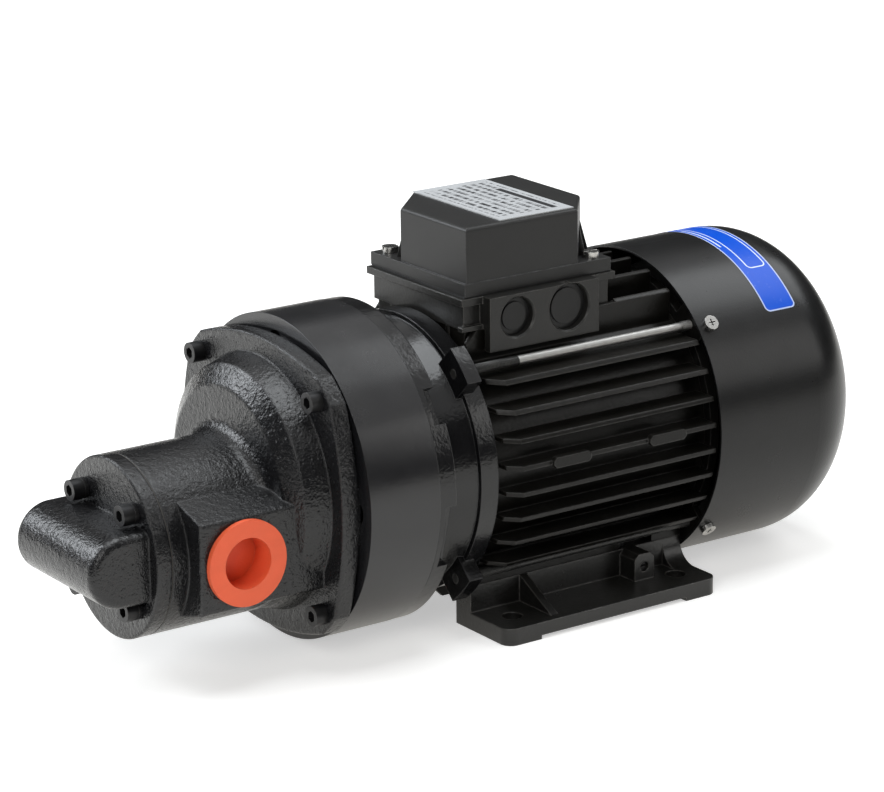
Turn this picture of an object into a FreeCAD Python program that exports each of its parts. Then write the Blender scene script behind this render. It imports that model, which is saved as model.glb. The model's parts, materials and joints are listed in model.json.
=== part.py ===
import FreeCAD
import Part
import Sketcher
import math
import os

# Gear pump driven by a foot-mounted, fan-cooled motor. X runs along the shaft with the pump at -X,
# Z is up, and the origin is the centre of the foot bolt pattern on the floor.

doc = FreeCAD.newDocument("GearPump")
sheet = doc.addObject("Spreadsheet::Sheet", "Sizes")

sizes = {
    # motor frame and feet
    "shaft_height": 80.0,
    "frame_middle": 2.0,
    "frame_length": 128.0,
    "fin_height": 12.5,
    "frame_wall": 4.5,
    "fin_reach": 77.0,
    "fin_thickness": 2.2,
    "fin_setback": 3.0,
    "fin_chamfer": 6.0,
    "side_fins": 8,
    "side_fins_inside": 31.85,
    "top_fins": 6,
    "top_fins_inside": 38.5,
    "fin_pad_length": 22.0,
    "fin_pad_height": 5.2,
    "fin_pad_corner": 1.6,
    "fin_pad_proud": 1.7,
    "fin_pad_front": -25.5,
    "fin_pad_back": 32.0,
    "wire_lug_place": 35.5,
    "wire_lug_length": 9.0,
    "wire_lug_width": 5.0,
    "wire_lug_thickness": 3.0,
    "wire_lug_hole": 1.2,
    "foot_bolts_long": 100.0,
    "foot_bolts_wide": 125.0,
    "foot_hole": 10.0,
    "foot_length": 128.0,
    "foot_width": 157.0,
    "foot_plate": 8.5,
    "foot_relief": 2.0,
    "foot_end_pad": 20.0,
    "foot_wall_inside_fins": 29.0,
    "foot_wall": 12.0,
    "foot_corner": 6.0,
    "foot_seat": 22.0,
    "foot_gusset": 26.0,
    "foot_gusset_place": -35.0,
    "foot_end_fillet": 12.0,
    "foot_end_fillet_length": 11.0,
    "seat_recess_start": 26.0,
    "seat_recess_length": 20.0,
    "seat_recess_depth": 5.0,
    "foot_screw_along": 30.0,
    "foot_screw_inside_wall": 6.0,
    "foot_screw_tip": 31.0,
    "earth_boss_place": 32.4,
    "earth_boss_width": 11.8,
    "earth_boss_height": 13.5,
    "earth_boss_depth": 12.0,
    "earth_boss_round": 2.5,
    "earth_screw_radius": 2.5,
    "earth_screw_length": 9.0,
    "earth_screw_sink": 1.5,
    # shields, studs and bearings
    "shield_depth": 39.9,
    "flange_over_fins": 1.5,
    "shield_lip": 3.0,
    "shield_lug_depth": 6.0,
    "neck_inside_frame": 3.5,
    "rim_over_frame": 4.5,
    "shield_wall": 5.0,
    "notch_depth": 6.0,
    "upper_notch_width": 18.0,
    "upper_notch_angle": 33.0,
    "lower_notch_width": 32.0,
    "lower_notch_angle": -14.0,
    "shield_spigot": 4.0,
    "ear_over_fins": 2.5,
    "shield_ear_width": 20.0,
    "shield_ear_front": 13.0,
    "shield_ear_thickness": 8.0,
    "fan_shield_depth": 12.0,
    "fan_ear_thickness": 3.0,
    "cowl_lug": 10.0,
    "stud_inside_fins": 5.0,
    "stud_radius": 2.5,
    "stud_nut_height": 4.0,
    "stud_nut_flats": 8.0,
    "bearing_outer": 23.5,
    "bearing_inner": 10.0,
    "bearing_width": 14.0,
    "bearing_ring_wall": 4.0,
    "bearing_ball": 3.6,
    "bearing_balls": 8,
    "bearing_hub_wall": 6.0,
    "washer_thickness": 1.0,
    # rotor and stator
    "core_length": 70.0,
    "core_middle": 2.0,
    "stator_bore": 35.3,
    "stator_slots": 24,
    "slot_width": 5.0,
    "slot_depth": 13.0,
    "slot_from_bore": 2.0,
    "winding_overhang": 18.0,
    "rotor_radius": 35.0,
    "rotor_ring_length": 8.0,
    "rotor_ring_wall": 9.0,
    "motor_shaft_radius": 9.5,
    "rotor_seat_radius": 13.0,
    "shaft_extension": 36.0,
    "shaft_tail": 42.0,
    "key_width": 6.0,
    "key_length": 18.0,
    "key_depth": 3.5,
    # fan and cowl
    "cowl_over_fins": 2.5,
    "cowl_wall": 1.2,
    "cowl_start": 64.3,
    "cowl_end": 164.5,
    "cowl_round": 37.0,
    "cowl_slots": 12,
    "cowl_slot_width": 4.5,
    "cowl_slot_inner": 12.0,
    "cowl_slot_outer": 38.0,
    "cowl_screw_place": 71.6,
    "cowl_screw_angle": 41.0,
    "cowl_screw_radius": 2.0,
    "cowl_screw_head": 3.8,
    "cowl_screw_head_height": 2.4,
    "fan_inside_cowl": 11.5,
    "fan_hub_radius": 17.0,
    "fan_start": 98.0,
    "fan_width": 30.0,
    "fan_disc": 2.5,
    "fan_blades": 8,
    "fan_blade_thickness": 2.0,
    # terminal box
    "box_front": -62.1,
    "box_back": 28.5,
    "box_half_width": 40.2,
    "seat_inside_fins": 11.0,
    "box_height": 15.9,
    "box_ledge": 2.2,
    "box_wall": 3.5,
    "box_lip": 4.0,
    "box_waist": 2.5,
    "entry_front": -50.0,
    "entry_back": 14.4,
    "entry_face": 46.0,
    "entry_drop": 10.5,
    "entry_rise": 4.4,
    "entry_left": -33.9,
    "entry_right": -3.1,
    "entry_left_radius": 9.5,
    "entry_right_radius": 11.5,
    "entry_depth": 5.0,
    "entry_plug": 2.0,
    "entry_plug_border": 2.6,
    "entry_chamfer": 0.8,
    "box_gasket": 0.9,
    "lid_inset": 2.2,
    "lid_flange": 6.2,
    "lid_step": 1.1,
    "lid_height": 33.0,
    "lid_far_corner": 24.0,
    "lid_near_corner_long": 18.5,
    "lid_near_corner_wide": 22.5,
    "lid_wall": 2.5,
    "lid_round": 2.0,
    "lid_screw_inset": 7.0,
    "lid_screw_radius": 2.0,
    "lid_screw_head": 4.0,
    "lid_screw_head_height": 3.0,
    "lid_screw_grip": 16.0,
    "plate_length": 43.0,
    "plate_half_width": 36.5,
    "plate_thickness": 0.5,
    "terminal_block_length": 42.0,
    "terminal_block_width": 30.0,
    "terminal_block_height": 9.0,
    "terminal_stud_radius": 2.0,
    "terminal_stud_height": 20.0,
    "terminal_pitch": 13.0,
    # adapter ring
    "ring_over_flange": 0.2,
    "ring_bore": 55.0,
    "ring_length": 38.6,
    "spigot_length": 4.0,
    "adapter_bolts": 130.0,
    "adapter_screw_radius": 4.0,
    "adapter_head_radius": 6.5,
    "adapter_head_height": 8.0,
    "adapter_grip": 12.0,
    "adapter_thread": 8.0,
    # pump casting
    "bell_flange": 8.5,
    "bell_seat": 2.0,
    "bell_seat_inside_ring": 8.7,
    "bell_flat_inside_ring": 7.7,
    "bell_side_round": 150.0,
    "bell_corner_over_ring": 1.8,
    "bell_bolts_inside_ring": 5.7,
    "bell_base": 62.0,
    "bell_depth": 18.3,
    "bell_boss": 49.0,
    "bell_shoulder": 6.0,
    "bell_round": 4.0,
    "flange_round": 1.0,
    "housing_fillet": 7.0,
    "bell_cavity": 42.0,
    "bell_wall": 6.0,
    "housing_radius": 43.3,
    "housing_length": 55.5,
    "port_face": 54.0,
    "port_block_height": 43.2,
    "port_block_root": 56.0,
    "port_block_inner": 32.0,
    "port_block_front": 8.5,
    "port_block_round": 2.0,
    "port_place": 31.6,
    "port_radius": 15.1,
    "port_depth": 18.0,
    "port_channel": 8.0,
    "port_channel_shift": 9.0,
    "plug_flange": 20.5,
    "plug_flange_thickness": 2.8,
    "plug_recess": 12.2,
    "plug_wall": 2.6,
    "plug_depth": 14.0,
    # pump cover and relief valve
    "gasket": 0.5,
    "cover_thickness": 7.5,
    "cover_bolts": 65.0,
    "cover_bore_depth": 5.8,
    "cover_round": 1.2,
    "relief_height": 34.3,
    "relief_depth": 30.2,
    "relief_half_width": 36.0,
    "relief_end_round": 4.0,
    "relief_bore": 9.0,
    "relief_seat_place": 20.0,
    "relief_plug_length": 9.0,
    "relief_plug_sink": 1.0,
    "relief_socket": 8.0,
    "relief_socket_depth": 5.0,
    "relief_piston_length": 14.0,
    "relief_channel": 3.5,
    "spring_wire": 1.0,
    "spring_radius": 6.0,
    "spring_turns": 6,
    # gears, bushes, seal and coupling
    "gear_module": 3.0,
    "gear_teeth": 11,
    "pressure_angle": 28.0,
    "gear_width": 30.0,
    "gear_backlash": 0.12,
    "tooth_root_gap": 0.75,
    "gear_shaft_radius": 9.0,
    "bush_wall": 3.0,
    "bush_length": 20.0,
    "cover_bush_length": 5.5,
    "seal_radius": 14.0,
    "seal_width": 6.0,
    "coupling_radius": 20.0,
    "coupling_hub_radius": 16.0,
    "pump_hub_length": 14.0,
    "motor_hub_length": 22.0,
    "coupling_jaw": 8.0,
    "coupling_jaws": 3,
    "jaw_angle": 34.0,
    "jaw_play": 4.0,
    "spider_bore": 9.0,
    # fasteners
    "screw_radius": 3.0,
    "screw_head_radius": 5.0,
    "screw_head_height": 6.0,
    "screw_socket": 5.0,
    "screw_socket_depth": 3.0,
    "cover_screw_length": 20.0,
    "flange_screw_length": 22.0,
    "spring_washer": 1.6,
    # clearances
    "running": 0.05,
    "seat_gap": 0.05,
    "side_gap": 0.1,
    "tip_gap": 0.1,
    "hole_gap": 0.3,
    "air_gap": 1.0,
}


class Length:
    """A size of the sheet, or a sum or share of such sizes, kept as a number and as an expression."""

    def __init__(self, text, number):
        self.text = text
        self.number = number

    def __float__(self):
        return float(self.number)

    def __neg__(self):
        return Length(f"(-{self.text})", -self.number)

    def __add__(self, other):
        other = length(other)
        return Length(f"({self.text} + {other.text})", self.number + other.number)

    def __sub__(self, other):
        other = length(other)
        return Length(f"({self.text} - {other.text})", self.number - other.number)

    def __mul__(self, other):
        other = length(other)
        return Length(f"({self.text} * {other.text})", self.number * other.number)

    def __truediv__(self, other):
        other = length(other)
        return Length(f"({self.text} / {other.text})", self.number / other.number)

    def __radd__(self, other):
        return length(other) + self

    def __rsub__(self, other):
        return length(other) - self

    def __rmul__(self, other):
        return length(other) * self

    def __rtruediv__(self, other):
        return length(other) / self


def length(value):
    """Gives a plain number the form of a Length."""
    if isinstance(value, Length):
        return value
    return Length(f"{value:g}" if value >= 0 else f"({value:g})", value)


def cosine(angle):
    angle = length(angle)
    return Length(f"cos({angle.text})", math.cos(math.radians(angle.number)))


def sine(angle):
    angle = length(angle)
    return Length(f"sin({angle.text})", math.sin(math.radians(angle.number)))


class Sheet:
    """Writes every size into its own named cell and hands them out as Lengths."""

    def __init__(self, rows):
        for row, (name, value) in enumerate(rows.items(), 1):
            sheet.set(f"A{row}", name)
            sheet.set(f"B{row}", str(value))
            sheet.setAlias(f"B{row}", name)
            setattr(self, name, Length(f"Sizes.{name}", value))


size = Sheet(sizes)
doc.recompute()

# Places along the shaft and heights above it, each from its neighbour.
axis_height = size.shaft_height
frame_front = size.frame_middle - size.frame_length / 2
frame_back = size.frame_middle + size.frame_length / 2
side_fin_pitch = 2 * (size.fin_reach - size.side_fins_inside) / (size.side_fins - 1)
top_fin_pitch = 2 * (size.fin_reach - size.top_fins_inside) / (size.top_fins - 1)
frame_radius = size.fin_reach - size.fin_height
frame_bore = frame_radius - size.frame_wall
shield_neck = frame_radius - size.neck_inside_frame
shield_rim = frame_radius + size.rim_over_frame
foot_wall_outer = size.fin_reach - size.foot_wall_inside_fins
foot_wall_inner = foot_wall_outer - size.foot_wall
foot_screw_across = foot_wall_outer - size.foot_screw_inside_wall
flange_radius = size.fin_reach + size.flange_over_fins
ear_reach = size.fin_reach + size.ear_over_fins
stud_place = size.fin_reach - size.stud_inside_fins
cowl_radius = size.fin_reach + size.cowl_over_fins
fan_radius = cowl_radius - size.fan_inside_cowl
box_seat = size.fin_reach - size.seat_inside_fins
box_top = box_seat + size.box_height
entry_bottom = box_seat - size.entry_drop
entry_height = box_seat + size.entry_rise
ring_radius = flange_radius + size.ring_over_flange
bell_bolt_place = ring_radius - size.bell_bolts_inside_ring
flange_face = frame_front - size.shield_depth
ring_front = flange_face - size.ring_length
bell_flange_front = ring_front - size.bell_seat - size.bell_flange
boss_face = bell_flange_front - size.bell_depth
housing_front = boss_face - size.housing_length
cover_back = housing_front - size.gasket
cover_front = cover_back - size.cover_thickness
relief_front = cover_front - size.relief_depth
relief_round = size.relief_height / 2
relief_axis = relief_front + relief_round
chamber_length = size.gear_width + 2 * size.side_gap
chamber_back = cover_back + chamber_length
gear_front = cover_back + size.side_gap
port_axis = housing_front + size.port_place
cavity_front = boss_face + size.bell_wall
gear_pitch_radius = size.gear_module * size.gear_teeth / 2
pump_height = axis_height - gear_pitch_radius
driven_height = axis_height - 2 * gear_pitch_radius
gear_tip_radius = gear_pitch_radius + size.gear_module
chamber_radius = gear_tip_radius + size.tip_gap
bush_radius = size.gear_shaft_radius + size.running + size.bush_wall
earth_screw_height = size.foot_plate + size.earth_boss_height / 2
fan_shield_back = frame_back + size.fan_shield_depth
QUARTER_TURN = 90
EIGHTH_TURN = 45
HEXAGON_LEAN = 30
ALONG = {
    "x": FreeCAD.Rotation(FreeCAD.Vector(0, 1, 0), 90),
    "y": FreeCAD.Rotation(FreeCAD.Vector(1, 0, 0), -90),
    "z": FreeCAD.Rotation(),
}
nodes = []


def bind(made, **values):
    """Ties properties of an object to sizes in the sheet."""
    for name, value in values.items():
        made.setExpression(name, length(value).text)
    return made


def put(made, x, y, z, along="z"):
    """Gives an object its Placement, tied to the sheet."""
    made.Placement = FreeCAD.Placement(FreeCAD.Vector(), ALONG[along])
    for name, value in (("x", x), ("y", y), ("z", z)):
        made.setExpression(f"Placement.Base.{name}", length(value).text)
    return made


def cylinder(radius, height, x, y=0, z=axis_height, along="x"):
    made = doc.addObject("Part::Cylinder", "Round")
    return put(bind(made, Radius=radius, Height=height), x, y, z, along)


def cone(radius_1, radius_2, height, x, y=0, z=axis_height, along="x"):
    made = doc.addObject("Part::Cone", "Taper")
    return put(bind(made, Radius1=radius_1, Radius2=radius_2, Height=height), x, y, z, along)


def block(long, wide, high, x, y, z):
    made = doc.addObject("Part::Box", "Block")
    return put(bind(made, Length=long, Width=wide, Height=high), x, y, z)


def hexagon(flats, height, x, y, z, along="x"):
    made = doc.addObject("Part::Prism", "Hexagon")
    made.Polygon = 6
    return put(bind(made, Circumradius=flats / 2 / cosine(HEXAGON_LEAN), Height=height), x, y, z, along)


def fuse(*shapes):
    made = doc.addObject("Part::MultiFuse", "Joined")
    made.Shapes = list(shapes)
    return made


def common(*shapes):
    made = doc.addObject("Part::MultiCommon", "Shared")
    made.Shapes = list(shapes)
    return made


def cut(base, *tools):
    made = doc.addObject("Part::Cut", "Cut")
    made.Base = base
    made.Tool = tools[0] if len(tools) == 1 else fuse(*tools)
    return made


def group(*shapes):
    made = doc.addObject("Part::Compound", "Set")
    made.Links = list(shapes)
    return made


def turned(shape, angle):
    """Turns a finished object about the shaft axis."""
    made = doc.addObject("Part::Compound", "Turned")
    made.Links = [shape]
    angle = length(angle)
    made.Placement = FreeCAD.Placement(
        FreeCAD.Vector(), FreeCAD.Rotation(FreeCAD.Vector(1, 0, 0), 0.0))
    made.setExpression("Placement.Rotation.Angle", angle.text)
    made.setExpression("Placement.Base.y", (axis_height * sine(angle)).text)
    made.setExpression("Placement.Base.z", (axis_height - axis_height * cosine(angle)).text)
    return made


def node(made, name):
    """Names a finished sub-part."""
    made.Label = name
    nodes.append(made)
    return made


def corners(radius, start=EIGHTH_TURN):
    """The four places of a square pattern about the shaft axis, as offsets in Y and Z."""
    angles = [start + QUARTER_TURN * step for step in range(4)]
    return [(radius * cosine(angle), radius * sine(angle)) for angle in angles]


def origin_plane(body, role):
    return [plane for plane in body.Origin.OriginFeatures if plane.Role == role][0]


def outline(body, role, points, offset=0):
    """A closed sketch on one of the body's planes, each corner tied to the sheet."""
    sketch = body.newObject("Sketcher::SketchObject", "Outline")
    sketch.AttachmentSupport = [(origin_plane(body, role), "")]
    sketch.MapMode = "FlatFace"
    sketch.setExpression("AttachmentOffset.Base.z", length(offset).text)
    places = [FreeCAD.Vector(float(length(u)), float(length(v)), 0) for u, v in points]
    for first, place in enumerate(places):
        sketch.addGeometry(Part.LineSegment(place, places[(first + 1) % len(places)]))
    for first in range(len(places)):
        second = (first + 1) % len(places)
        sketch.addConstraint(Sketcher.Constraint("Coincident", first, 2, second, 1))
    for line, point in enumerate(points):
        for kind, value in zip(("DistanceX", "DistanceY"), point):
            value = length(value)
            index = sketch.addConstraint(Sketcher.Constraint(kind, -1, 1, line, 1, value.number))
            sketch.setExpression(f"Constraints[{index}]", value.text)
    return sketch


def new_body(name, z=axis_height):
    body = doc.addObject("PartDesign::Body", name)
    return put(body, 0, 0, z)


def revolve(body, points):
    """Turns an outline of (x, radius) points about the shaft."""
    turning = body.newObject("PartDesign::Revolution", "Turning")
    turning.Profile = outline(body, "XZ_Plane", points)
    turning.ReferenceAxis = (turning.Profile[0], ["H_Axis"])
    turning.Angle = 360
    doc.recompute()
    return turning


def pad(body, role, points, offset, thickness):
    """Pads an outline from its offset along the plane's normal."""
    padding = body.newObject("PartDesign::Pad", "Padding")
    padding.Profile = outline(body, role, points, offset)
    bind(padding, Length=thickness)
    doc.recompute()
    return padding


def pocket(body, role, points, offset, depth):
    """Cuts an outline from its offset along the plane's normal, and checks that it cut."""
    before = body.Shape.Volume
    cutting = body.newObject("PartDesign::Pocket", "Cutting")
    cutting.Profile = outline(body, role, points, offset)
    cutting.Reversed = True
    bind(cutting, Length=depth)
    doc.recompute()
    if body.Shape.Volume >= before:
        raise ValueError(f"{body.Name}: a pocket cuts nothing")
    return cutting


def polar(body, feature, count):
    """Repeats a feature about the shaft axis."""
    pattern = body.newObject("PartDesign::PolarPattern", "Around")
    pattern.Originals = [feature]
    pattern.Axis = ([line for line in body.Origin.OriginFeatures if line.Role == "X_Axis"][0], [""])
    pattern.Angle = 360
    bind(pattern, Occurrences=count)
    body.Tip = pattern
    doc.recompute()
    return pattern


def round_edges(body, radius, chosen):
    """Rounds the edges that the test picks."""
    doc.recompute()
    base = body.Tip
    names = [f"Edge{number}" for number, edge in enumerate(base.Shape.Edges, 1) if chosen(edge)]
    rounding = body.newObject("PartDesign::Fillet", "Rounding")
    rounding.Base = (base, names)
    bind(rounding, Radius=radius)
    doc.recompute()
    return rounding


def body_of(made, name):
    """A body that starts from a finished solid."""
    body = doc.addObject("PartDesign::Body", name)
    body.BaseFeature = made
    doc.recompute()
    return body


def edge_at(**place):
    """Picks the edges whose ends all lie at one distance from an origin plane, such as y=54."""
    (axis, distance), = place.items()
    distance = abs(float(length(distance)))

    def chosen(edge):
        return all(abs(abs(getattr(point.Point, axis)) - distance) < 0.01 for point in edge.Vertexes)
    return chosen


def ring_edge(x, radius):
    """Picks the full circle of this radius about the shaft at this place."""
    x = float(length(x))
    radius = float(length(radius))

    def chosen(edge):
        curve = edge.Curve
        return (isinstance(curve, Part.Circle) and abs(curve.Radius - radius) < 0.01
                and abs(curve.Center.x - x) < 0.01)
    return chosen


def socket_screw(x, y, z, shank, grip):
    """A socket head screw whose head seats at x and whose shank runs to +X."""
    head_start = x - size.screw_head_height
    head = cylinder(size.screw_head_radius, size.screw_head_height, head_start, y, z)
    body = cylinder(shank, grip, x, y, z)
    socket = hexagon(size.screw_socket, size.screw_socket_depth, head_start, y, z)
    return cut(fuse(head, body), socket)


def hollow(outer, inner, height, x, y=0, z=axis_height, along="x"):
    """A plain ring or tube."""
    return cut(cylinder(outer, height, x, y, z, along), cylinder(inner, height, x, y, z, along))


def motor_frame():
    """Finned housing with seats for the terminal box and the feet."""
    fin_front = frame_front + size.fin_setback
    fin_length = size.frame_length - 2 * size.fin_setback
    fins = []
    for step in range(int(sizes["side_fins"])):
        rise = (step - (size.side_fins - 1) / 2) * side_fin_pitch
        fins.append(block(fin_length, 2 * size.fin_reach, size.fin_thickness, fin_front, -size.fin_reach,
                          axis_height + rise - size.fin_thickness / 2))
    for step in range(int(sizes["top_fins"])):
        aside = (step - (size.top_fins - 1) / 2) * top_fin_pitch
        fins.append(block(fin_length, size.fin_thickness, 2 * size.fin_reach, fin_front,
                          aside - size.fin_thickness / 2, axis_height - size.fin_reach))
    nose = cone(size.fin_reach - size.fin_chamfer, size.fin_reach, size.fin_chamfer, fin_front)
    rest = cylinder(size.fin_reach, fin_length - size.fin_chamfer, fin_front + size.fin_chamfer)
    finned = common(fuse(*fins), fuse(nose, rest))
    tube = cylinder(frame_radius, size.frame_length, frame_front)
    seat = block(size.box_back - size.box_front - 2 * size.box_lip, 2 * (size.box_half_width - size.box_lip),
                 box_seat, size.box_front + size.box_lip, size.box_lip - size.box_half_width, axis_height)
    pads = [fin_pad(side, place) for side in (-1, 1) for place in (size.fin_pad_front, size.fin_pad_back)]
    wall_high = axis_height - frame_bore / 2 - size.foot_seat
    seat_length = size.foot_length / 2 - frame_front
    for start in (-foot_wall_outer, foot_wall_inner):
        pads.append(block(seat_length, size.foot_wall, wall_high, frame_front, start, size.foot_seat))
    whole = fuse(tube, finned, seat, *pads)
    bore = cylinder(frame_bore, size.frame_length, frame_front)
    box_room = block(size.box_back - size.box_front + 2 * size.air_gap, 2 * (size.box_half_width + size.air_gap),
                     size.fin_reach, size.box_front - size.air_gap, -size.box_half_width - size.air_gap,
                     axis_height + box_seat)
    recess_high = stud_place * cosine(EIGHTH_TURN) / 2
    recesses = [block(size.seat_recess_length, size.seat_recess_depth, recess_high, size.seat_recess_start,
                      start, axis_height - stud_place) for start in
                (-foot_wall_outer, foot_wall_outer - size.seat_recess_depth)]
    foot_rooms = [block(size.frame_length, size.fin_reach, size.foot_seat, frame_front, start, 0)
                  for start in (-foot_wall_inner + size.air_gap - size.fin_reach,
                                foot_wall_inner - size.air_gap)]
    made = cut(fuse(whole, wire_lug()), bore, box_room, *foot_rooms, *recesses, *stud_channels(),
               *foot_screw_holes(size.screw_radius + size.seat_gap))
    return node(made, "motor_frame")


def wire_lug():
    """Small drilled lug on the inner side of the nearest upright fin, level with the fin's top."""
    fin_middle = (size.top_fins - 1) / 2 * top_fin_pitch
    fin_top = axis_height + Length(f"sqrt({size.fin_reach.text}^2 - {fin_middle.text}^2)",
                                   math.sqrt(float(size.fin_reach) ** 2 - float(fin_middle) ** 2))
    low = fin_top - 1.5 * size.wire_lug_thickness
    lug = block(size.wire_lug_length, size.wire_lug_width, size.wire_lug_thickness,
                size.wire_lug_place - size.wire_lug_length / 2, -fin_middle, low)
    hole = cylinder(size.wire_lug_hole, size.wire_lug_thickness, size.wire_lug_place,
                    (size.fin_thickness / 2 + size.wire_lug_width) / 2 - fin_middle, low, "z")
    return cut(lug, hole)


def fin_pad(side, place):
    """Flat pad with cut corners that joins the edges of the middle fins."""
    body = new_body("FinPad", axis_height + side_fin_pitch / 2)
    long = size.fin_pad_length / 2
    high = size.fin_pad_height / 2
    corner = size.fin_pad_corner
    points = [(-long, -high + corner), (-long + corner, -high), (long - corner, -high), (long, -high + corner),
              (long, high - corner), (long - corner, high), (-long + corner, high), (-long, high - corner)]
    face = size.fin_reach + size.fin_pad_proud
    edge = -face if side > 0 else face - 2 * size.fin_pad_proud
    pad(body, "XZ_Plane", [(place + x, z) for x, z in points], edge, 2 * size.fin_pad_proud)
    return body


def stud_channels():
    """Room for the two lower tie studs in the foot seats and the feet."""
    reach = stud_place * cosine(EIGHTH_TURN)
    radius = size.stud_radius + size.air_gap
    return [cylinder(radius, size.foot_length, -size.foot_length / 2, side * reach, axis_height - reach)
            for side in (-1, 1)]


def foot_screw_places():
    return [(along * size.foot_screw_along, across * foot_screw_across)
            for across in (-1, 1) for along in (-1, 1)]


def foot_screw_holes(radius):
    return [cylinder(radius, size.foot_screw_tip, x, y, 0, "z") for x, y in foot_screw_places()]


def foot_plate(side):
    """The foot's plate, its two outer corners rounded."""
    body = new_body("FootPlate", 0)
    half = size.foot_length / 2
    outer = side * size.foot_width / 2
    inner = side * foot_wall_inner
    pad(body, "XY_Plane", [(-half, inner), (half, inner), (half, outer), (-half, outer)], 0, size.foot_plate)
    reach = float(outer)

    def outer_corner(edge):
        return all(abs(point.Y - reach) < 0.01 for point in edge.Vertexes) and edge.BoundBox.ZLength > 1

    round_edges(body, size.foot_corner, outer_corner)
    return body


def foot(side, name):
    """One bolted foot: plate, upright wall, gusset, fillet at one end and earth boss."""
    outer = size.foot_width / 2
    inner = foot_wall_inner
    half = size.foot_length / 2
    plate_y = -outer if side < 0 else inner
    wall_y = -foot_wall_outer if side < 0 else inner
    wall = block(size.foot_length, size.foot_wall, size.foot_seat, -half, wall_y, 0)
    wall_face = side * foot_wall_outer
    radius = size.foot_end_fillet
    fillet_start = half - size.foot_end_fillet_length
    rough_y = wall_face - radius if side < 0 else wall_face
    fillet = cut(block(size.foot_end_fillet_length, radius, radius, fillet_start, rough_y, size.foot_plate),
                 cylinder(radius, size.foot_end_fillet_length, fillet_start, wall_face + side * radius,
                          size.foot_plate + radius))
    gusset = new_body("Gusset", 0)
    pad(gusset, "YZ_Plane", [(wall_face, size.foot_plate - size.foot_relief),
                             (wall_face + side * size.foot_gusset, size.foot_plate - size.foot_relief),
                             (wall_face + side * size.foot_gusset, size.foot_plate),
                             (wall_face, size.foot_seat)],
        size.foot_gusset_place, size.foot_plate / 2)
    solid = fuse(foot_plate(side), wall, fillet, gusset, earth_boss(side))
    relief = block(size.foot_length - 2 * size.foot_end_pad, outer - inner, size.foot_relief,
                   size.foot_end_pad - half, plate_y, 0)
    holes = [cylinder(size.foot_hole / 2, size.foot_plate, end * size.foot_bolts_long / 2,
                      side * size.foot_bolts_wide / 2, 0, "z") for end in (-1, 1)]
    for end in (-1, 1):
        x = end * size.foot_screw_along
        y = side * foot_screw_across
        holes.append(cylinder(size.screw_radius + size.hole_gap, size.foot_seat, x, y, 0, "z"))
        holes.append(cylinder(size.screw_head_radius + size.hole_gap, size.foot_plate + size.foot_relief,
                              x, y, 0, "z"))
    boss_face = wall_face + side * size.earth_boss_depth
    hole_y = boss_face if side < 0 else boss_face - size.earth_screw_length
    earth_hole = cylinder(size.earth_screw_radius + size.seat_gap, size.earth_screw_length,
                          size.earth_boss_place, hole_y, earth_screw_height, "y")
    made = cut(solid, relief, *holes, *stud_channels(), earth_hole)
    return node(made, name)


def earth_boss(side):
    """Block with rounded upright corners for the earth screw."""
    body = new_body("EarthBoss", earth_screw_height)
    long = size.earth_boss_width / 2
    high = size.earth_boss_height / 2
    corner = size.earth_boss_round
    place = size.earth_boss_place
    face = foot_wall_outer + size.earth_boss_depth
    edge = -face if side > 0 else foot_wall_outer
    pad(body, "XZ_Plane", [(place - long, -high), (place + long, -high), (place + long, high - corner),
                           (place + long - corner, high), (place - long + corner, high),
                           (place - long, high - corner)], edge, size.earth_boss_depth)
    return body


def foot_screws():
    """Socket screws that hold the feet up against the frame's seats."""
    screws = []
    for x, y in foot_screw_places():
        head_top = size.foot_plate + size.foot_relief
        head = cylinder(size.screw_head_radius, size.screw_head_height, x, y,
                        head_top - size.screw_head_height, "z")
        shank = cylinder(size.screw_radius, size.foot_screw_tip - head_top - size.air_gap, x, y, head_top, "z")
        socket = hexagon(size.screw_socket, size.screw_socket_depth, x, y, head_top - size.screw_head_height, "z")
        screws.append(cut(fuse(head, shank), socket))
    return node(group(*screws), "foot_screws")


def earth_screw():
    """Slotted set screw sunk in the earth boss of the front foot."""
    face = -foot_wall_outer - size.earth_boss_depth + size.earth_screw_sink
    long = size.earth_screw_length - size.earth_screw_sink
    shank = cylinder(size.earth_screw_radius, long, size.earth_boss_place, face, earth_screw_height, "y")
    slot = block(2 * size.earth_screw_radius, size.earth_screw_sink, size.earth_screw_radius / 3,
                 size.earth_boss_place - size.earth_screw_radius, face,
                 earth_screw_height - size.earth_screw_radius / 6)
    return node(cut(shank, slot), "earth_screw")


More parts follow.
